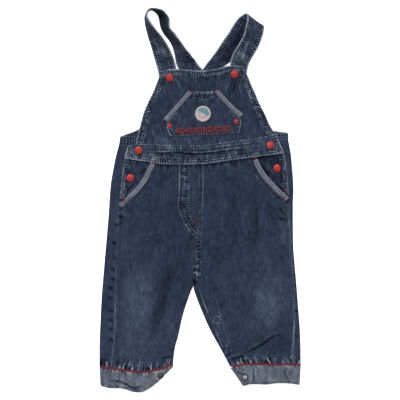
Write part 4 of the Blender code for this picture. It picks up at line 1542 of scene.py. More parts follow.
@dataclass
class Tube:
    """A tube of cloth pressed flat, its back on the surface.

    Args:
        node: The CAD node.
        recipe: Its material.
        thickness: How thick it is.
        step: The grid's spacing.
        tops: Its left and right ends at the top.
        feet: Its left and right ends at the foot.
        proud: How far it stands above the node.
        spread: How far its top and foot are let out.
    """

    node: str
    recipe: Woven | Flecked
    thickness: float
    step: float
    tops: Point
    feet: Point
    proud: float = 0.0
    spread: float = 0.0

    def build(self, dress: Callable[[Swatch], None] = lambda cloth: None) -> Shell:
        """Builds the tube.

        Args:
            dress: What dresses its front.

        Returns:
            Its shell.
        """
        cad = Node(self.node)
        over, below = (np.linspace(ends[0] + 0.4, ends[1] - 0.4, 90) for ends in (self.tops, self.feet))
        top = blurred(cad.span(0, over)[1], 1.5, 0) + self.spread
        foot = blurred(cad.span(0, below)[0], 1.5, 0) - self.spread
        rows, cols = max(5, int(abs(np.median(top - foot)) / self.step) + 1), int(np.ptp(self.tops) / self.step)
        share = np.linspace(0, 1, rows)[:, None]
        left, right = (high + (low - high) * share for high, low in zip(self.tops, self.feet))

        def level(x: Array) -> Array:
            """The places along for places across."""
            return np.interp(x, over, top) * (1 - share) + np.interp(x, below, foot) * share

        r, s = (0.5 * float(np.median(cad.height(x + shift, level(x)))) for x, shift in ((left, 2.0), (right, -2.0)))
        start, end, angle = left + r, right - s, np.linspace(0, math.pi, 8)[1:-1]
        front = start + (end - start) * np.linspace(0, 1, cols)
        back = end + (start - end) * np.linspace(0, 1, 14)
        cloth = Swatch(front, level(front))
        z = blurred(blurred(cad.height(cloth.x, cloth.y), 3.0, 1), 1.0, 0) + self.proud
        z[:, :1], z[:, -1:] = 2 * r, 2 * s
        dress(cloth)
        fade = smooth(np.minimum(cloth.x - left, right - cloth.x) / 4.0)
        z += np.maximum(cloth.lift * fade, -0.5 * z)
        x = np.concatenate([front, end + s * np.sin(angle), back, start - r * np.sin(angle)], 1)
        turns = s + s * np.cos(angle) + 0 * share, r - r * np.cos(angle) + 0 * share
        grid = np.stack([x, level(x), np.concatenate([z, turns[0], 0 * back, turns[1]], 1)], -1)
        closed = np.concatenate([grid[:, -1:], grid, grid[:, :1]], 1)
        inner = grid - grid_normals(closed)[:, 1:-1] * self.thickness
        dye = np.zeros(grid.shape)
        dye[:, :cols] = cloth.dye()
        run = np.cumsum(np.linalg.norm(np.diff(closed, axis=1), axis=-1), 1)[:, :-1]
        place = np.stack([run, grid[..., 1], 0 * run], -1)
        piece = sew_shell(self.node, grid, inner, ring_faces(*x.shape), dye, place, self.recipe)
        declare(piece, closed[:, 1:])
        return Shell(piece, grid[:, :cols])


# ---- the garment


@dataclass
class Leg:
    """One leg: its back, front, hip pocket, cuff, piping and fasteners.

    Args:
        name: left or right.
        outer: The side away from the other leg.
        grain: How the cloth's grain slants.
        corners: Directions to the front's corners.
        dents: Middles of the dents in the strip that comes round from the back.
        strip: What is pressed into that strip.
        relief: What is pressed into the front.
        hem: The shares of the foot between which it is gathered, and how pale it is there.
        tacks: Bar-tacks on the front.
        facing: What is pressed into the hip pocket's facing.
        edge_wear_highlight_and_fade: How pale the facing's edge is with abrasion and painted highlight, and the
            facing's fade.
        binding: The middle line of the hip pocket's binding.
        hip_tacks: Bar-tacks on the binding.
        cuff: What is pressed into the cuff.
        patchy: How uneven the cuff is.
        tops: The cuff's left and right end at the top.
        feet: The same at the foot.
        piping: The left and right end of the piping.
        ring: The place of the cuff's ring fastener.
        middle: The material of the ring's middle.
    """

    name: str
    outer: Side
    grain: float
    corners: tuple[Point, ...]
    dents: Rows
    strip: Relief
    relief: Relief
    hem: tuple[float, float, float]
    tacks: Rows
    facing: Relief
    edge_wear_highlight_and_fade: Point
    binding: tuple[float, ...]
    hip_tacks: Rows
    cuff: Relief
    patchy: float
    tops: Point
    feet: Point
    piping: Point
    ring: Point
    middle: Flecked

    def build(self) -> None:
        """Builds the leg from the back up."""
        self.left = self.outer is Side.LEFT
        back = Rolled("back_leg_" + self.name, (1,) if self.left else (-1,), self.dress_back).build()
        below = [back.piece.name]
        front = self.build_front(below)
        self.pocket = self.build_facing(below)
        bound = bind("hip_binding_" + self.name, Path.through(*self.binding), 6.3, [front, self.pocket, back])
        self.shells = [bound, self.pocket, front, back]
        self.build_cuff()

    def dress_back(self, cloth: Swatch) -> None:
        """The strip that has rolled round: dents beside the seam, a pale edge, and puckers at the hem, with painted
        highlight and shade.

        Args:
            cloth: The back's cloth.
        """
        cloth.lift += 0.25 * (noise(cloth.x, cloth.y, 9.0, 3) - 0.5)
        cloth.edge_line(self.outer, 0.35, 1.0)
        for x, y in self.dents:
            cloth.crease(Path.through(x - 4.6, y + 1.0, x + 4.2, y - 1.0), 3.2, 0.5, 0.8)
        cloth.fade += 0.06
        cloth.gather(Side.FOOT, 14.0, 5.5, 0.6, 1.2, seed=3)
        cloth.press(self.strip)

    def build_front(self, below: Sequence[str]) -> Shell:
        """The front of the leg, from the waistband to the hem.

        Args:
            below: What it lies on.

        Returns:
            Its shell.
        """
        cut = Cut("front_leg_" + self.name, self.corners, grain=self.grain, crumple=0.45)
        cloth, (start, end, pale) = cut.cloth, self.hem
        cloth.press(self.relief)
        cloth.fade += 0.08 * (noise(cloth.x - self.grain * cloth.y, 0.25 * cloth.y, 7.0, 13) - 0.5)
        cloth.mottle(0.07, 5.0)
        # Painted shadow of the waistband along the leg's top.
        cloth.shade_and_tone += 0.45 * bell(cloth.near(Side.TOP)[0] - 1.5, 2.4)
        cloth.edge_line(self.outer, 0.75, 1.2, 0.8, 0.27)
        cloth.topstitch(self.outer, 2.4, FAINT_ROW, 0.27, 0.99)
        cloth.gather(Side.TOP, 10.0, 7.0, 0.3, 0.25, 0.1, 0.9, 2)
        cloth.gather(Side.FOOT, 14.0, 5.0, 0.8, 1.5, start, end, 5)
        cloth.topstitch(Side.FOOT, 9.5, FAINT_ROW, start, end)
        depth, _, mask = cloth.near(Side.FOOT, start, end)
        cloth.fade += pale * smooth((14.0 - depth) / 5.0) * mask
        if self.left:  # the fly's edge, paled with abrasion and painted highlight
            cloth.edge_line(Side.RIGHT, 0.8, 1.0, 0.7, 0.0, 0.42)
        cloth.y = cloth.y - 1.1 * smooth(1 - depth / 8.0)
        if self.left:  # the seam's curve
            cloth.x = cloth.x - 3.0 * bell(cloth.y + 120, 85) * smooth(1 - cloth.near(Side.LEFT)[0] / 45.0)
        else:  # the imprint of a fastener below
            ring = np.hypot(cloth.x - 25.2, cloth.y + 179.6) + 1.2 * (noise(cloth.x, cloth.y, 3.0, 31) - 0.5)
            cloth.lift += 0.5 * bell(ring - 5.0, 1.0)
            # The imprint's pale crest is painted highlight and its darker groove painted shade.
            cloth.wear_and_highlight += 0.9 * bell(ring - 5.0, 0.9) + 0.4 * bell(ring - 1.5, 0.7)
            cloth.shade_and_tone += 0.8 * bell(ring - 3.2, 0.9)
        shell = cut.sew_up(below, "leg_stitches_" + self.name)
        for index, tack in enumerate(self.tacks):
            bar_tack(f"leg_tack_{self.name}_{index}", [shell], tack, MAROON_THREAD, 1.7)
        return shell

    def build_facing(self, below: Sequence[str]) -> Shell:
        """The hip pocket's facing with the fastening strip at its edge.

        Args:
            below: What it lies on.

        Returns:
            Its shell.
        """
        cut = Cut("hip_facing_" + self.name, step=0.85, crumple=0.45)
        cloth, (wear_and_highlight, pale) = cut.cloth, self.edge_wear_highlight_and_fade
        cloth.hem(self.outer, 9.0, 0.5, 0.45)
        for inset in (2.4, 6.8):
            cloth.topstitch(self.outer, inset, FINE_ROW)
        # The facing's pale edge: abrasion and painted highlight.
        cloth.edge_line(self.outer, wear_and_highlight, 1.5)
        cloth.mottle(0.3, 4.0)
        # Painted shadow of the waistband along the facing's top.
        cloth.shade_and_tone += 0.5 * bell(cloth.near(Side.TOP)[0] - 1.0, 5.0)
        cloth.press(self.facing)
        cloth.fade += pale
        return cut.sew_up(below, "facing_stitches_" + self.name)

    def build_cuff(self) -> None:
        """The piping and the turned-up cuff with its ring fastener."""
        Tube("piping_" + self.name, CRIMSON, 1.2, 0.9, self.piping, self.piping, 0.7, 0.4).build()
        shell = Tube("cuff_" + self.name, REVERSE, 1.4, 1.25, self.tops, self.feet).build(self.dress_cuff)
        name = "cuff_snap_" + self.name
        place, way = shell.find(*self.ring)
        lathe(name + "_pressed", RING_PROFILE, place - way * 0.2, way, DARK_STEEL, name)
        lathe(name + "_middle", MIDDLE_PROFILE, place, way, self.middle)

    def dress_cuff(self, cloth: Swatch) -> None:
        """The cuff's creases and rows.

        Args:
            cloth: The cuff's cloth.
        """
        cloth.press(self.cuff)
        cloth.lift += 1.2 * (noise(cloth.x, cloth.y, 8.0, 2) - 0.5)
        cloth.gather(Side.TOP, 8.0, 6.0, 0.5, 0.8, seed=4)
        cloth.mottle(self.patchy, 6.0)
        # Painted shade along the cuff's foot, where it turns under.
        cloth.shade_and_tone += 0.7 * bell(cloth.near(Side.FOOT)[0], 1.3)
        cloth.topstitch(Side.FOOT, 3.4, FAINT_ROW)


@dataclass
class Waist:
    """The back's waistband and upper part, and the front waistband with what is pressed into it."""

    relief: Relief

    def build_back(self) -> None:
        """The back's waistband, rolled at both ends, and the part above it."""
        Rolled("back_waistband", (1, -1), self.dress_back, 1.2).build()
        cut = Cut("back_bib", ((-1, 0.6), (1, 0.6), (1, -1), (-1, -1)), step=1.6, soften=1.0, crumple=0.15)
        cloth = cut.cloth
        cloth.lift = np.maximum(cloth.lift, 0)
        cloth.edge_line(Side.TOP, 1.0, 1.4)
        cloth.topstitch(Side.TOP, 3.4)
        cloth.fade += 0.06
        cut.sew_up()

    def dress_back(self, cloth: Swatch) -> None:
        """The rows along the back's waistband.

        Args:
            cloth: Its cloth.
        """
        for side in (Side.TOP, Side.FOOT):
            cloth.topstitch(side, 2.6)
            cloth.edge_line(side, 0.3)
        cloth.fade += 0.12

    def build_front(self) -> Shell:
        """The front waistband with its sunk line."""
        cut = Cut("front_waistband", step=0.8, grow=0.4, thickness=2.2, soften=2.0, crumple=0.5)
        cloth = cut.cloth
        cloth.press(self.relief)
        for side, inset, look in ((Side.FOOT, 2.4, PLAIN_ROW), (Side.FOOT, 6.6, FINE_ROW), (Side.TOP, 2.2, FAINT_ROW),
                                  (Side.LEFT, 2.6, PLAIN_ROW), (Side.RIGHT, 2.6, PLAIN_ROW)):
            cloth.topstitch(side, inset, look)
        for side, wear_and_highlight, width in ((Side.TOP, 0.45, 1.2), (Side.FOOT, 1.0, 1.4), (Side.LEFT, 1.2, 1.5),
                                  (Side.RIGHT, 1.2, 1.5)):
            cloth.edge_line(side, wear_and_highlight, width)
        cloth.mottle(0.3, 4.0)
        cloth.fade += 0.16
        cloth.y = cloth.y + 1.0 * smooth(1 - cloth.near(Side.TOP)[0] / 7.0)
        cut.z += 0.1
        return cut.sew_up(["front_leg_left_cloth", "front_leg_right_cloth"], "waistband_stitches")


@dataclass
class Bib:
    """The bib with its pocket, bindings, badge and studs.

    Args:
        relief: What is pressed into the bib.
        pocket_relief: What is pressed into the pocket.
        bindings: The middle lines of the bindings, by side.
        studs: The places of the studs, by side.
        badge: The badge's middle.
        radius: Its radius.
    """

    relief: Relief
    pocket_relief: Relief
    bindings: dict[str, tuple[float, ...]]
    studs: dict[str, Point]
    badge: Point = (4.5, 129.0)
    radius: float = 12.0

    def build(self) -> None:
        """Builds the bib and what is sewn on it."""
        self.front = self.build_front()
        self.pocket = self.build_pocket()
        below = [self.pocket, self.front]
        for name, places in self.bindings.items():
            shell = bind("bib_binding_" + name, Path.through(*places), 5.2, below)
            tack = places[0] + 1.2, places[1] + 0.2, 6.4, 8
            bar_tack("bib_tack_" + name, [shell, *below], tack, width=2.6)
        for name, place in self.studs.items():
            cap("pocket_stud_" + name, place, self.pocket, 0.57, 0.55)
        self.build_badge()
        self.embroider()

    def build_front(self) -> Shell:
        """The bib's front."""
        cut = Cut("bib", step=0.95, crumple=0.5)
        cloth = cut.cloth
        cloth.press(self.relief)
        cloth.hem(Side.TOP, 12.0, 0.45, 0.3)
        cloth.mottle(0.18, 3.0)
        cloth.fade += 0.16 * smooth((13.0 - cloth.near(Side.TOP)[0]) / 3.0)
        cloth.edge_line(Side.TOP, 0.95)
        cloth.topstitch(Side.TOP, 3.8, FINE_ROW)
        cloth.topstitch(Side.TOP, 10.6)
        for side in (Side.LEFT, Side.RIGHT):
            cloth.hem(side, 10.0, 0.45, 0.45)
            cloth.edge_line(side, 0.95)
            cloth.topstitch(side, 3.8, ROPED_ROW)
            cloth.topstitch(side, 8.2, FINE_ROW)
            # A pale line at the hem's inner step: abrasion and painted highlight.
            step_light_and_abrasion = bell(cloth.near(side)[0] - 10.3, 1.1)
            cloth.wear_and_highlight += 0.8 * step_light_and_abrasion * smooth(2.2 * noise(cloth.x, cloth.y, 5.0, 41) - 0.4)
        return cut.sew_up(sewn="bib_stitches")

    def build_pocket(self) -> Shell:
        """The pocket on the bib."""
        cut = Cut("bib_pocket", ((-0.3, 1), (0.3, 1), (0.3, -1), (-0.3, -1)), step=0.9, crumple=0.45)
        cloth = cut.cloth
        cut.z = softened(self.front.height(cloth.x, cloth.y, 1.5), 3.0) + GAP + CLOTH
        cloth.hem(Side.TOP, 7.0, 0.4, 0.2)
        cloth.edge_line(Side.TOP, 0.9, 1.1)
        cloth.topstitch(Side.TOP, 5.6)
        cloth.press(self.pocket_relief)
        cloth.edge_line(Side.FOOT, 0.9, 1.2)
        for side in (Side.LEFT, Side.RIGHT):
            cloth.edge_line(side, 1.0, 1.2, 0.6, 0.5)
            cloth.topstitch(side, 3.6, PLAIN_ROW, 0.62, 0.95)
        cloth.mottle(0.3, 3.0)
        cloth.fade += 0.02
        return cut.sew_up([self.front.piece.name], "pocket_stitches")

    def build_badge(self) -> None:
        """A round embroidered badge: a corded rim, two plain fields, and a ring of knots."""
        rings, sides, radius, (across, along) = 26, 72, self.radius, self.badge
        r = np.linspace(0.04, 1, rings)[:, None] * radius
        a = np.linspace(0, math.tau, sides, endpoint=False)[None, :]
        x, y = across + r * np.cos(a), along + r * np.sin(a)
        base = blurred(self.pocket.height(x, y, 1.5), 2.0, 0) + 1.15
        rim = smooth((r - radius + 3.0) / 0.6)
        split = smooth(((y - along) + 0.6 * (x - across) - 0.5) / 0.5 + 0.5)
        knots = bell(r - 5.4, 0.9) * smooth(np.cos(7 * a) * 3 - 1.0)
        tint = np.array(srgb(208, 188, 194)[:3])
        for share, colour in ((split, (104, 158, 168)), (knots, (160, 44, 54)), (rim, (206, 198, 194))):
            tint = tint * (1 - share[..., None]) + np.array(srgb(*colour)[:3]) * share[..., None]
        lift = 0.55 * rim * np.sin(np.clip((radius - r) / 3.0, 0, 1) * math.pi) + 0.45 * knots
        lift = lift + 0.12 * np.sin(a * 60) * rim + 0.08 * np.sin(x / 0.45) * (1 - rim) - 0.6 * bell(r - radius, 0.5)
        top, under = (np.stack([x, y, z], -1).reshape(-1, 3) for z in (base + lift, base - 0.85))
        middle = float(base[0].mean())
        hub = [[across, along, middle + float(lift[0].mean())], [across, along, middle - 0.85]]
        outer, inner, _, wall = ring_faces(rings, sides)
        here = np.arange(sides)
        after, hubs, count = np.roll(here, -1), here * 0 + 2 * rings * sides, rings * sides
        fans = np.stack([hubs, here, after], -1), np.stack([hubs + 1, after + count, here + count], -1)
        colours = np.concatenate([tint.reshape(-1, 3)] * 2 + [tint[0, :1]] * 2)
        make("badge_stitched", np.concatenate([top, under, hub]), [outer, inner, wall, *fans], EMBROIDERY, "badge",
             {"tint": colours})

    def embroider(self) -> None:
        """A dense row of satin-stitched diamonds and stacked blocks below the badge."""
        sewn = []
        for index, x in enumerate(np.linspace(-34.5, 42.5, 12)):
            y = 104.5 + 0.045 * x + 0.2 * math.sin(2.4 * index)
            for dx in np.arange(-2.9, 2.91, 0.58):
                half = 5.4 * (1.1 - abs(dx) / 3.4)
                for low, high in ((-5.0, -0.5), (0.7, 5.0)) if index % 2 else ((-half, half),):
                    (a, way), (b, lean) = self.pocket.find(x + dx, y + low), self.pocket.find(x + dx + 0.2, y + high)
                    sewn.append((a + way * 0.45, b + lean * 0.45, way))
        threads("pocket_embroidery", *np.array(sewn).swapaxes(0, 1), SATIN, RUBY_THREAD)


@dataclass
class Strap:
    """A shoulder strap: a doubled band that follows its first edge, stitched down both sides.

    Args:
        name: The CAD node.
        edge: The first edge's places, in order.
        turn: The plan direction across, in degrees, or empty to take it square to the route.
        lean: How far the width leans up, in degrees.
        relief: What is pressed into it, in places across and down the band.
        pinch: How far from its end it is pinched narrower, and by how much.
        width: How wide it is.
        thick: How thick it is.
    """

    name: str
    edge: Rows
    turn: tuple[float, ...]
    lean: tuple[float, ...]
    relief: Relief
    pinch: Point = (0.0, 0.0)
    width: float = 28.5
    thick: float = 2.2

    def build(self) -> None:
        """Builds the strap and its stitches."""
        own = np.array(self.edge, float)
        stations = summed(np.linalg.norm(np.diff(own, axis=0), axis=1))
        end = float(stations[-1])
        at = np.linspace(0, end, int(end / 0.9) + 1)
        lean = np.radians(steady(at, stations, np.array(self.lean, float)))
        x, y = (flowing(at, stations, own[:, k]) for k in (0, 1))
        if self.turn:
            heading = np.radians(steady(at, stations, np.array(self.turn, float)))
            z = steady(at, stations, own[:, 2])
        else:
            heading, z = np.arctan2(-np.gradient(x), np.gradient(y)), np.abs(np.cos(lean)) * self.thick / 2
        edge = np.stack([x, y, z], -1)
        across = np.stack([np.cos(lean) * np.cos(heading), np.cos(lean) * np.sin(heading), np.sin(lean)], -1)
        face = unit(np.cross(across, np.gradient(edge, axis=0)))
        w = np.linspace(0, self.width, int(self.width / 0.85) + 1)[None, :]
        narrow = 1 - self.pinch[1] / self.width * bell(end - at - self.pinch[0], 8.5)
        middle = edge[:, None, :] + across[:, None, :] * (w * narrow[:, None])[..., None]
        cloth = Swatch(w + 0 * at[:, None], 0 * w - at[:, None])
        self.dress(cloth, end)
        from_side = np.minimum(w, self.width - w)
        rounded = np.sqrt(np.clip(1 - np.clip(1 - from_side, 0, 1) ** 2, 0.06, 1))
        half = (self.thick / 2 * rounded + cloth.lift * np.clip(from_side / 2, 0.2, 1))[..., None] * face[:, None, :]
        top, under = middle + half, middle - half
        for grid in (top, under):
            grid[..., 2] = np.maximum(grid[..., 2], 0.05)
        self.sew_up(top, under, cloth)

    def dress(self, cloth: Swatch, end: float) -> None:
        """The rows, creases, and edges paled with abrasion and painted highlight.

        Args:
            cloth: The band's cloth.
            end: How long it is.
        """
        cloth.lift += 0.3 * (noise(cloth.x * 1.3, cloth.y, 12.0, 3) - 0.5)
        for side in (Side.LEFT, Side.RIGHT):
            # The pale edges are abrasion and painted highlight.
            cloth.edge_line(side, 1.5, 2.1, 0.2)
            cloth.topstitch(side, 4.0)
            cloth.topstitch(side, 7.4, FINE_ROW)
        cloth.press(self.relief)
        cloth.mottle(0.25, 4.0)
        cloth.rumple(Path.through(14, -4, 14, 4 - end), 20.0, 0.35, 4.0)
        cloth.fade += 0.06

    def sew_up(self, top: Array, under: Array, cloth: Swatch) -> None:
        """Args:
            top: The points of one face.
            under: The points of the other.
            cloth: Its colour marks, painted highlight and shade among them.
        """
        rows, cols, _ = top.shape
        facing = top - under
        flip = grid_normals(top)[rows // 2, cols // 2] @ facing[rows // 2, cols // 2] < 0
        place = np.stack([cloth.x, cloth.y, 0 * cloth.x], -1)
        piece = sew_shell(self.name, top, under, sheet_faces(rows, cols, flip), cloth.dye(), place, DENIM)
        declare(piece, top)
        sewn = []
        for grid, ways in ((top, unit(facing)), (under, unit(-facing))):
            for inset in (4.2, self.width - 4.2):
                f, k = math.modf(inset / self.width * (cols - 1))
                k = int(k)
                sewn.append(((1 - f) * grid[:, k] + f * grid[:, k + 1], ways[:, k]))
        stitches(self.name + "_stitches", sewn)


@dataclass
class Studio:
    """The plain floor, the light and the camera above."""

    height: float = 4.0
    lens: float = 240.0
    sky: float = 0.36
    sun: float = 2.6

    def build(self) -> None:
        """Sets everything up."""
        self.floor()
        self.light()
        data = bpy.data.cameras.new("camera")
        data.lens, data.sensor_width, data.clip_end = self.lens, 36.0, 20.0
        camera = put("camera", data)
        camera.location = (0, 0, self.height)
        bpy.context.scene.camera = camera
        bpy.context.scene.view_settings.view_transform = "Standard"

    def floor(self) -> None:
        """A white floor that keeps the garment's shadow."""
        s = Shader("floor_white")
        s.dress({"Base Color": (0.9, 0.9, 0.9, 1.0), "Roughness": 1.0, "Specular IOR Level": 0.0})
        seen = s.add("ShaderNodeLightPath", out="Is Camera Ray")
        for ray in ("Is Glossy Ray", "Is Transmission Ray"):
            other = s.add("ShaderNodeLightPath", out=ray)
            seen = s.add("ShaderNodeMath", {"operation": "MAXIMUM"}, {0: seen, 1: other})
        glow = s.add("ShaderNodeEmission", None, {"Color": (1, 1, 1, 1), "Strength": 0.9})
        clear = s.add("ShaderNodeEmission", None, {"Color": (0, 0, 0, 1), "Strength": 0.0})
        lit = s.add("ShaderNodeMixShader", None, {0: seen, 1: clear, 2: glow})
        both = s.add("ShaderNodeAddShader", None, {0: Value(s, s.surface.outputs[0]), 1: lit})
        s.join(both, s.tree.nodes["Material Output"].inputs["Surface"])
        points = np.array([[-3000, 3000, -0.3], [-3000, -3000, -0.3], [3000, -3000, -0.3], [3000, 3000, -0.3]])
        mesh = bpy.data.meshes.new("floor")
        mesh.from_pydata((points * MM).tolist(), [], [(0, 1, 2, 3)])
        mesh.materials.append(s.material)
        put("floor", mesh)

    def light(self) -> None:
        """Soft light from all round and one broad lamp from beyond the shoulders."""
        world = bpy.context.scene.world or bpy.data.worlds.new("world")
        bpy.context.scene.world = world
        world.use_nodes = True
        sky = Nodes(world.node_tree, "Background")
        sky.dress({"Color": (1, 1, 1, 1), "Strength": self.sky})
        high = sky.add("ShaderNodeBackground", None, {"Color": (1, 1, 1, 1), "Strength": 1.0})
        seen = sky.add("ShaderNodeLightPath", out="Is Camera Ray")
        both = sky.add("ShaderNodeMixShader", None, {0: seen, 1: Value(sky, sky.surface.outputs[0]), 2: high})
        sky.join(both, sky.tree.nodes["World Output"].inputs["Surface"])
        data = bpy.data.lights.new("key", "SUN")
        data.energy, data.angle = self.sun, math.radians(28)
        put("key", data).rotation_euler = Vector((-0.25, 0.75, 0.95)).to_track_quat("Z", "Y").to_euler()


# ---- what is pressed and sewn where

CAP_PROFILE = ((0, 0), (4.5, 0), (5.35, 0.2), (5.75, 0.6), (5.8, 1.0), (5.6, 1.35), (5.2, 1.6), (4.9, 1.62),
               (4.6, 1.72), (3.9, 2.05), (3.0, 2.28), (2.0, 2.38), (1.0, 2.41), (0, 2.42))
RING_PROFILE = ((0, 0), (4.5, 0), (4.95, 0.45), (4.8, 0.95), (4.3, 1.3), (3.8, 1.2), (3.4, 0.6), (2.9, 0.42),
                (1.2, 0.4), (0, 0.4))
MIDDLE_PROFILE = ((0, 0.2), (3.1, 0.2), (3.2, 0.8), (2.4, 1.0), (0, 1.0))
LEFT_LEG = Leg(
    name="left", outer=Side.LEFT, grain=0.124, corners=((-0.3, 1), (1, 1), (1, -1), (-1, -1)),
    dents=(
        (-124, -37), (-129, -64.5), (-127.5, -87), (-130.5, -103.5), (-130.5, -118.5), (-134, -132), (-134, -147),
        (-132.5, -166), (-133.5, -180), (-133.5, -193.5), (-132.5, -210),
    ),
    strip=Relief(creases=((1.8, 0.6, 0.5, -149, -236, -141, -241, -133, -238),)),
    relief=Relief(
        fades_and_shades=(
            # The darker oval at (-57, -150) is painted shade along a soft fold running down from the crotch.
            (-92, -172, 26, 58, 0.42), (-45, -195, 14, 34, 0.16, -12), (-57, -150, 9, 72, -0.24, -19),
            (-60, -5, 40, 60, -0.03), (-14, 15, 12, 46, 0.1), (-100, -232, 30, 16, 0.12),
        ),
        creases=(
            (1.6, 0.8, 0.9, -121, -20, -117, -27, -110, -31), (1.4, -0.7, -0.9, -119, -13, -113, -20, -110, -28),
            (1.5, 0.6, 0.8, -120, -28, -116, -35, -112, -36), (2.4, 1.1, 0.8, -60, -238, -50, -236.5, -39, -234),
            (11, 0.9, 0.12, -33, -82, -50, -130, -66, -175, -82, -225),
            (3.0, 0.9, 1.6, -9.5, -117.5, -8.2, -121.5, -5.5, -125.5, -4.2, -130),
            (9, 0.6, 0.05, -60, 25, -70, -10, -73, -45),
        ),
        rumples=(
            (14, 0.75, -22, 52, -23.5, 10, -24, -15, -15, -36, -4, -50), (7, 0.5, -3, -60, -3, -96),
            (12, 1.3, -3, -92, -4, -106, -3, -120), (14, 0.9, -119, -12, -115, -30), (9, 0.6, -60, 49, -30, 50, 2, 50),
        ),
        rows=(
            (FINE_ROW, -27.5, 52, -28.5, 15, -29, -14, -22, -32, -9, -50, 0, -56),
            (FLY_ROW, -19.5, 52, -20.5, 5, -19, -20, -12.5, -37, -5, -47), (FAINT_ROW, -12, 52, -12, 20, -13.5, -10),
            (FINE_ROW, 1.8, 52, 1.2, -20, -0.2, -58),
            (FAINT_ROW, -64.5, 49, -74.0, 30, -84.5, 15.5, -93.0, 5.5, -105, -4.5, -114, -12),
            (ROPED_ROW, -1.4, -60, -2.1, -80, -1.4, -98),
        ),
        lines=(
            (0.7, 0.9, -30.5, 50, -31, 20, -31.5, -14, -24.5, -31, -11, -51, -3, -59),
            (0.9, 0.9, -7, -94, -4, -100, -6, -108, -3, -116), (0.7, 0.8, 0, -100, 2, -106, 0, -112),
        ),
    ),
    hem=(0.04, 0.97, 0.16),
    tacks=(
        (-11.5, -22.5, 2.4, 60), (-9.0, -25.5, 2.6, 40), (-6.0, -29.5, 2.2, 75), (-2.6, -30.0, 2.6, 100),
        (-1.6, -35.5, 4.2, 84), (-4.4, -38.5, 2.0, 50), (-3.0, -42.5, 2.0, 70), (-8.0, -33.5, 1.8, 30),
    ),
    facing=Relief(
        creases=(
            (2.4, 0.8, 0.9, -79, 49, -86, 42, -92, 37), (1.2, -0.5, -0.9, -103, 57, -90, 59, -76, 58),
            (1.2, -0.4, -0.6, -104, 56, -105, 49, -103, 44), (2.0, 0.6, 0.8, -96, 26, -106, 16, -112, 8),
        ),
    ),
    edge_wear_highlight_and_fade=(0.9, -0.04), binding=(-70.4, 54.8, -80.2, 34.5, -90.0, 20.5, -97.8, 11.3, -109.3, 0.5, -120.0, -9.1),
    hip_tacks=((-69.0, 55.5, 5.5, 12), (-115.8, 2.2, 4.0, 20), (-118.0, -8.2, 6.5, 8)),
    cuff=Relief(
        creases=(
            (2.0, 1.1, 1.4, -142.5, -270, -119, -273, -111, -276, -103.5, -281, -80, -278),
            (1.0, 0.5, 1.4, -121, -257, -120.5, -272), (1.6, 0.8, 1.3, -126, -276, -122, -283, -117, -284),
            (2.0, 0.6, 0.7, -78, -268, -62, -272, -50, -262),
        ),
    ),
    patchy=0.9, tops=(-150.6, -40.0), feet=(-149.4, -40.0), piping=(-150.6, -40.0), ring=(-59.0, -263.0),
    middle=DARK_STEEL,
)
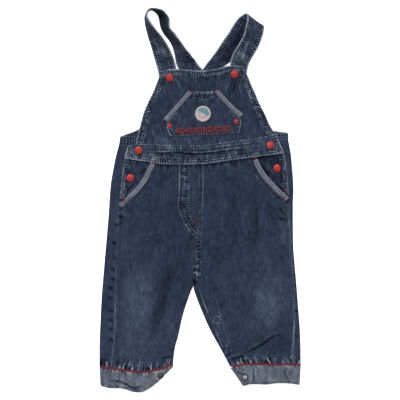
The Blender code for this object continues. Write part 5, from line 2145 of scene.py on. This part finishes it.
RIGHT_LEG = Leg(
    name="right", outer=Side.RIGHT, grain=-0.1, corners=((-1, 1), (0.3, 1), (1, -1), (-1, -1)),
    dents=((136.5, -68), (138, -91), (140.5, -128), (143, -166), (144, -204)),
    strip=Relief(creases=((1.6, 0.6, 0.8, 139.5, -226.5, 138.5, -235.5, 145.5, -243),)),
    relief=Relief(
        fades_and_shades=(
            # The darker oval at (82, -25) is painted shade along a soft fold, pressed as a crease there too.
            (104, -146, 24, 42, 0.44), (92, -120, 7, 22, -0.14), (82, -25, 8, 46, -0.16), (50, -190, 24, 40, 0.07),
            (30, -185, 18, 40, 0.08), (92, -60, 9, 40, 0.08), (125, -50, 6, 13, 0.25), (45, -20, 30, 50, -0.07),
            (95, -236, 45, 10, 0.1),
        ),
        creases=(
            (2.1, 1.2, 1.15, 64, -231.5, 82.5, -222.5, 97.5, -213.8, 110, -205, 126, -200.5),
            (7, -0.8, 0.0, 66, -236, 86, -227, 104, -214), (2.0, 1.1, 1.8, 44, -237.5, 54, -236.5, 66, -233),
            (2.6, 0.9, 0.8, 117, -24, 124, -30, 131, -27), (2.2, 0.8, 0.8, 119, -10, 124, -19, 130, -22),
            (3.4, 0.8, 0.35, 84, -8, 85, -26, 87, -46), (13, -0.7, 0.0, 118, -95, 108, -130, 100, -165),
        ),
        rumples=(
            (9, 0.6, 8, 50, 45, 52, 78, 56), (18, 0.9, 34, -222, 44, -232, 50, -241), (10, 0.7, 140, -228, 138, -245),
        ),
        rows=(
            (FAINT_ROW, 0.5, -136, 9, -158, 18.5, -179, 36.5, -222),
            (FINE_ROW, 79, 52, 86, 38, 94.5, 26.5, 104, 16, 117, 4, 125, -2),
        ),
        lines=(
            (0.9, 0.9, -1, -133.5, 7, -157.5, 16.5, -178.5, 21, -189, 34.5, -222),
            (0.5, 0.8, 22.5, -145, 36, -193.5, 45, -217.5), (0.9, 1.0, 141.5, -180, 139, -212, 136.5, -238),
        ),
    ),
    hem=(0.02, 0.94, 0.18), tacks=(),
    facing=Relief(
        creases=(
            (2.6, 0.9, 1.0, 90, 56, 98, 44, 108, 34), (2.0, -0.6, -0.6, 100, 60, 104, 50, 112, 36),
            (2.2, 0.8, 1.0, 112, 26, 120, 18, 125, 14), (2.0, 0.6, 0.8, 122, 62, 122, 40, 124, 24),
        ),
    ),
    edge_wear_highlight_and_fade=(1.5, -0.2),
    binding=(82.9, 60.5, 85.5, 54.0, 91.4, 43.0, 99.4, 32.0, 108.8, 22.3, 119.3, 11.3, 125.0, 6.3, 130.8, 1.0),
    hip_tacks=((81.8, 63.0, 5.0, 10), (129.0, 13.8, 4.0, 0), (129.6, 1.6, 5.5, -10)),
    cuff=Relief(
        creases=(
            (1.5, 0.9, 1.5, 80, -249, 80.8, -275), (1.3, -0.6, -0.8, 76.5, -250, 77, -274),
            (1.4, 0.7, 1.3, 54, -257, 62, -260.5, 69, -259), (1.8, 0.8, 1.0, 124, -254, 130, -266, 136, -277),
            (1.6, 0.6, 0.9, 129, -252, 126, -263), (1.6, 0.6, 0.8, 140, -252, 136, -262),
        ),
    ),
    patchy=0.5, tops=(45.4, 151.1), feet=(63.6, 149.4), piping=(46.4, 151.1), ring=(67.5, -265.5), middle=PALE_STEEL,
)
WAIST = Waist(
    Relief(
        fades_and_shades=((-106, 64, 18, 11, 0.5), (-67.5, 61, 6, 5, 0.5), (120, 74, 10, 14, 0.15), (81, 66, 5, 5, 0.3)),
        creases=(
            (1.3, 1.3, 2.2, -83, 70.6, -60, 70.2, -38, 70.8, -7.5, 68.4, 16, 69.8, 37.5, 72.8, 78, 77),
            (1.1, 0.8, 1.4, -62, 67.4, -50, 69, -30, 66.6), (1.1, 0.8, 1.4, 20, 66.5, 34, 69.6, 52, 70.4),
        ),
        rumples=(
            (13, 0.8, -104, 66, -60, 66, -10, 64, 40, 68, 80, 73, 112, 79),
            (8, 0.5, -80, 79, -30, 78.5, 20, 79, 80, 88),
        ),
        rows=(
            (PLAIN_ROW, -78, 75.6, -37, 74.8, 4, 74.6, 40, 78.6, 74, 83, 92, 86),
            (FAINT_ROW, -80, 65.5, -50, 66.2, -20, 64.4, 10, 64.6),
        ),
    ),
)
BIB = Bib(
    relief=Relief(
        fades_and_shades=((0, 86, 120, 14, 0.14), (0, 150, 50, 40, -0.05), (8, 174, 50, 9, -0.04)),
        creases=(
            (1.3, -0.6, -0.7, -37, 186, -34, 177, -27, 164, -25, 156), (1.3, -0.6, -0.6, -50, 178, -53, 166, -52, 152),
            (1.4, -0.4, -0.5, -61, 174, -66, 154), (1.2, -0.4, -0.5, -19, 188, -18, 168),
            (1.0, -0.3, -0.4, -6, 188, -5, 172), (1.3, -0.6, -0.7, 47, 182, 39, 166, 37, 158),
            (1.3, -0.5, -0.6, 58, 180, 61, 162, 66, 150), (1.2, -0.4, -0.5, 29, 188, 26, 170),
            (1.3, -0.4, -0.5, 70, 170, 77, 150), (1.8, 0.6, 0.5, -40, 182, -44, 164),
            (1.8, 0.6, 0.5, 52, 178, 50, 162), (1.4, -0.4, -0.5, -72, 108, -66, 90),
            (1.4, -0.4, -0.5, 84, 112, 78, 94),
        ),
        rumples=((10, 0.35, -58, 178, 0, 182, 64, 184), (12, 0.4, -84, 92, -30, 86, 40, 88, 100, 96)),
    ),
    pocket_relief=Relief(
        creases=((6, 0.5, 0.05, -20, 118, -12, 140), (6, 0.5, 0.05, 30, 122, 22, 142)),
        rumples=((12.0, 0.7, -16, 158, 5, 154, 24, 160),),
        rows=(
            (FINE_ROW, -42, 97.4, 0, 98.4, 56, 102.4),
            (PLAIN_ROW, -7, 160, -4.5, 154.5, 5.5, 152.8, 15, 155, 18, 160.5),
        ),
    ),
    bindings={"left": (-14.6, 161.8, -34, 140, -52.2, 119.6), "right": (24.6, 163, 45.6, 141, 62.6, 126.4)},
    studs={"left": (-45.2, 111.2), "right": (54.2, 117.6)},
)
STRAPS = (
    Strap(
        name="strap_left",
        edge=(
            (-56.5, 170), (-61.8, 186), (-64.1, 196), (-68.5, 212), (-72.9, 228), (-77.4, 243), (-80.3, 255),
            (-82.3, 266), (-82.4, 275), (-79.6, 281.6), (-73.8, 285.5), (-67.6, 282.6), (-62.8, 277.0), (-60.6, 268),
            (-59.0, 259), (-53.6, 248.5), (-46.0, 239.4), (-40.4, 227.6), (-37.6, 214), (-35.4, 202.5), (-28.6, 191),
            (-16.6, 176.0),
        ),
        turn=(), lean=(0, 0, 0, 16, 33, 50, 65, 76, 84, 87, 90, 97, 111, 122, 120, 114, 115, 123, 147, 175, 180, 180),
        relief=Relief(
            # The darker oval 156 mm along is painted shade on the steeply leaning back run.
            fades_and_shades=((14, -156, 22, 24, -0.3), (14, -206, 18, 24, 0.06), (14, -116, 16, 10, -0.12)),
            creases=(
                (2.4, -0.8, -0.9, 13, -76, 12, -62, 14, -46), (2.4, -0.7, -0.8, 18, -66, 19.5, -38),
                (2.0, 0.6, 0.5, 9, -98, 10, -84),
            ),
        ),
    ),
    Strap(
        name="strap_right",
        edge=(
            (31.4, 179, 1.15), (38.6, 193, 1.15), (44.5, 202.6, 1.3), (46.3, 211, 3.4), (50.5, 221.5, 7.2),
            (56.8, 231.5, 10.2), (64.4, 245.5, 12.0), (68.6, 260.5, 13.2), (70.4, 271.0, 13.4), (70.3, 277.2, 11.6),
            (68.6, 279.7, 8.0), (65.2, 278.5, 4.6), (59.1, 274.2, 3.0), (51.6, 265.4, 4.2), (43.5, 251.9, 7.2),
            (33.0, 236.7, 9.9), (23.8, 222.6, 9.0), (16.9, 213.3, 5.1), (9.6, 204.3, 2.7), (2.4, 194.6, 1.15),
        ),
        turn=(-25, -25, -25, -26, -29, -30, -20, -15, -23, -35, -41, -41, -38, -36, -35, -35, -36, -37, -37, -37),
        lean=(0, 0, 0, -4, -9, -13, -14, -12, -10, -8, -4, -2, -2, -6, -12, -18, -16, -8, -3, 0),
        relief=Relief(
            # The darker oval 160 mm along is painted shadow of the front run on the back run.
            fades_and_shades=((19, -92, 10, 16, 0.3), (12, -45, 14, 34, 0.14), (22, -160, 12, 46, -0.5)),
            creases=(
                (2.4, -0.8, -0.9, 10, -78, 13, -60, 18, -40), (2.2, -0.6, -0.7, 6.5, -66, 7.5, -33),
                (2.0, 0.5, 0.5, 3, -128, 20, -121),
            ),
        ),
        pinch=(24.0, 5.0),
    ),
)


def main() -> None:
    """Builds every piece from the back up."""
    logging.basicConfig(level=logging.INFO, format="%(name)s: %(message)s", stream=sys.stdout)
    Studio().build()
    WAIST.build_back()
    for leg in (LEFT_LEG, RIGHT_LEG):
        leg.build()
    band = WAIST.build_front()
    for leg in (LEFT_LEG, RIGHT_LEG):
        for index, tack in enumerate(leg.hip_tacks):
            bar_tack(f"hip_tack_{leg.name}_{index}", [band, *leg.shells], tack)
    BIB.build()
    for name, place, shell in (
        ("snap_bib_left", (-45.6, 183.2), BIB.front), ("snap_bib_right", (51.8, 188.4), BIB.front),
        ("snap_waist_left", (-92.0, 74.6), band), ("snap_waist_right", (105.4, 82.2), band),
        ("snap_hip_left", (-104.4, 33.2), LEFT_LEG.pocket), ("snap_hip_right", (115.6, 47.6), RIGHT_LEG.pocket),
    ):
        cap(name, place, shell)
    for strap in STRAPS:
        strap.build()
    for piece in bpy.data.objects:
        if "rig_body" in piece and piece.name not in frame["nodes"]:
            LOG.info("%s: %d faces", piece.name, len(piece.data.polygons))


if __name__ == "__main__":
    main()
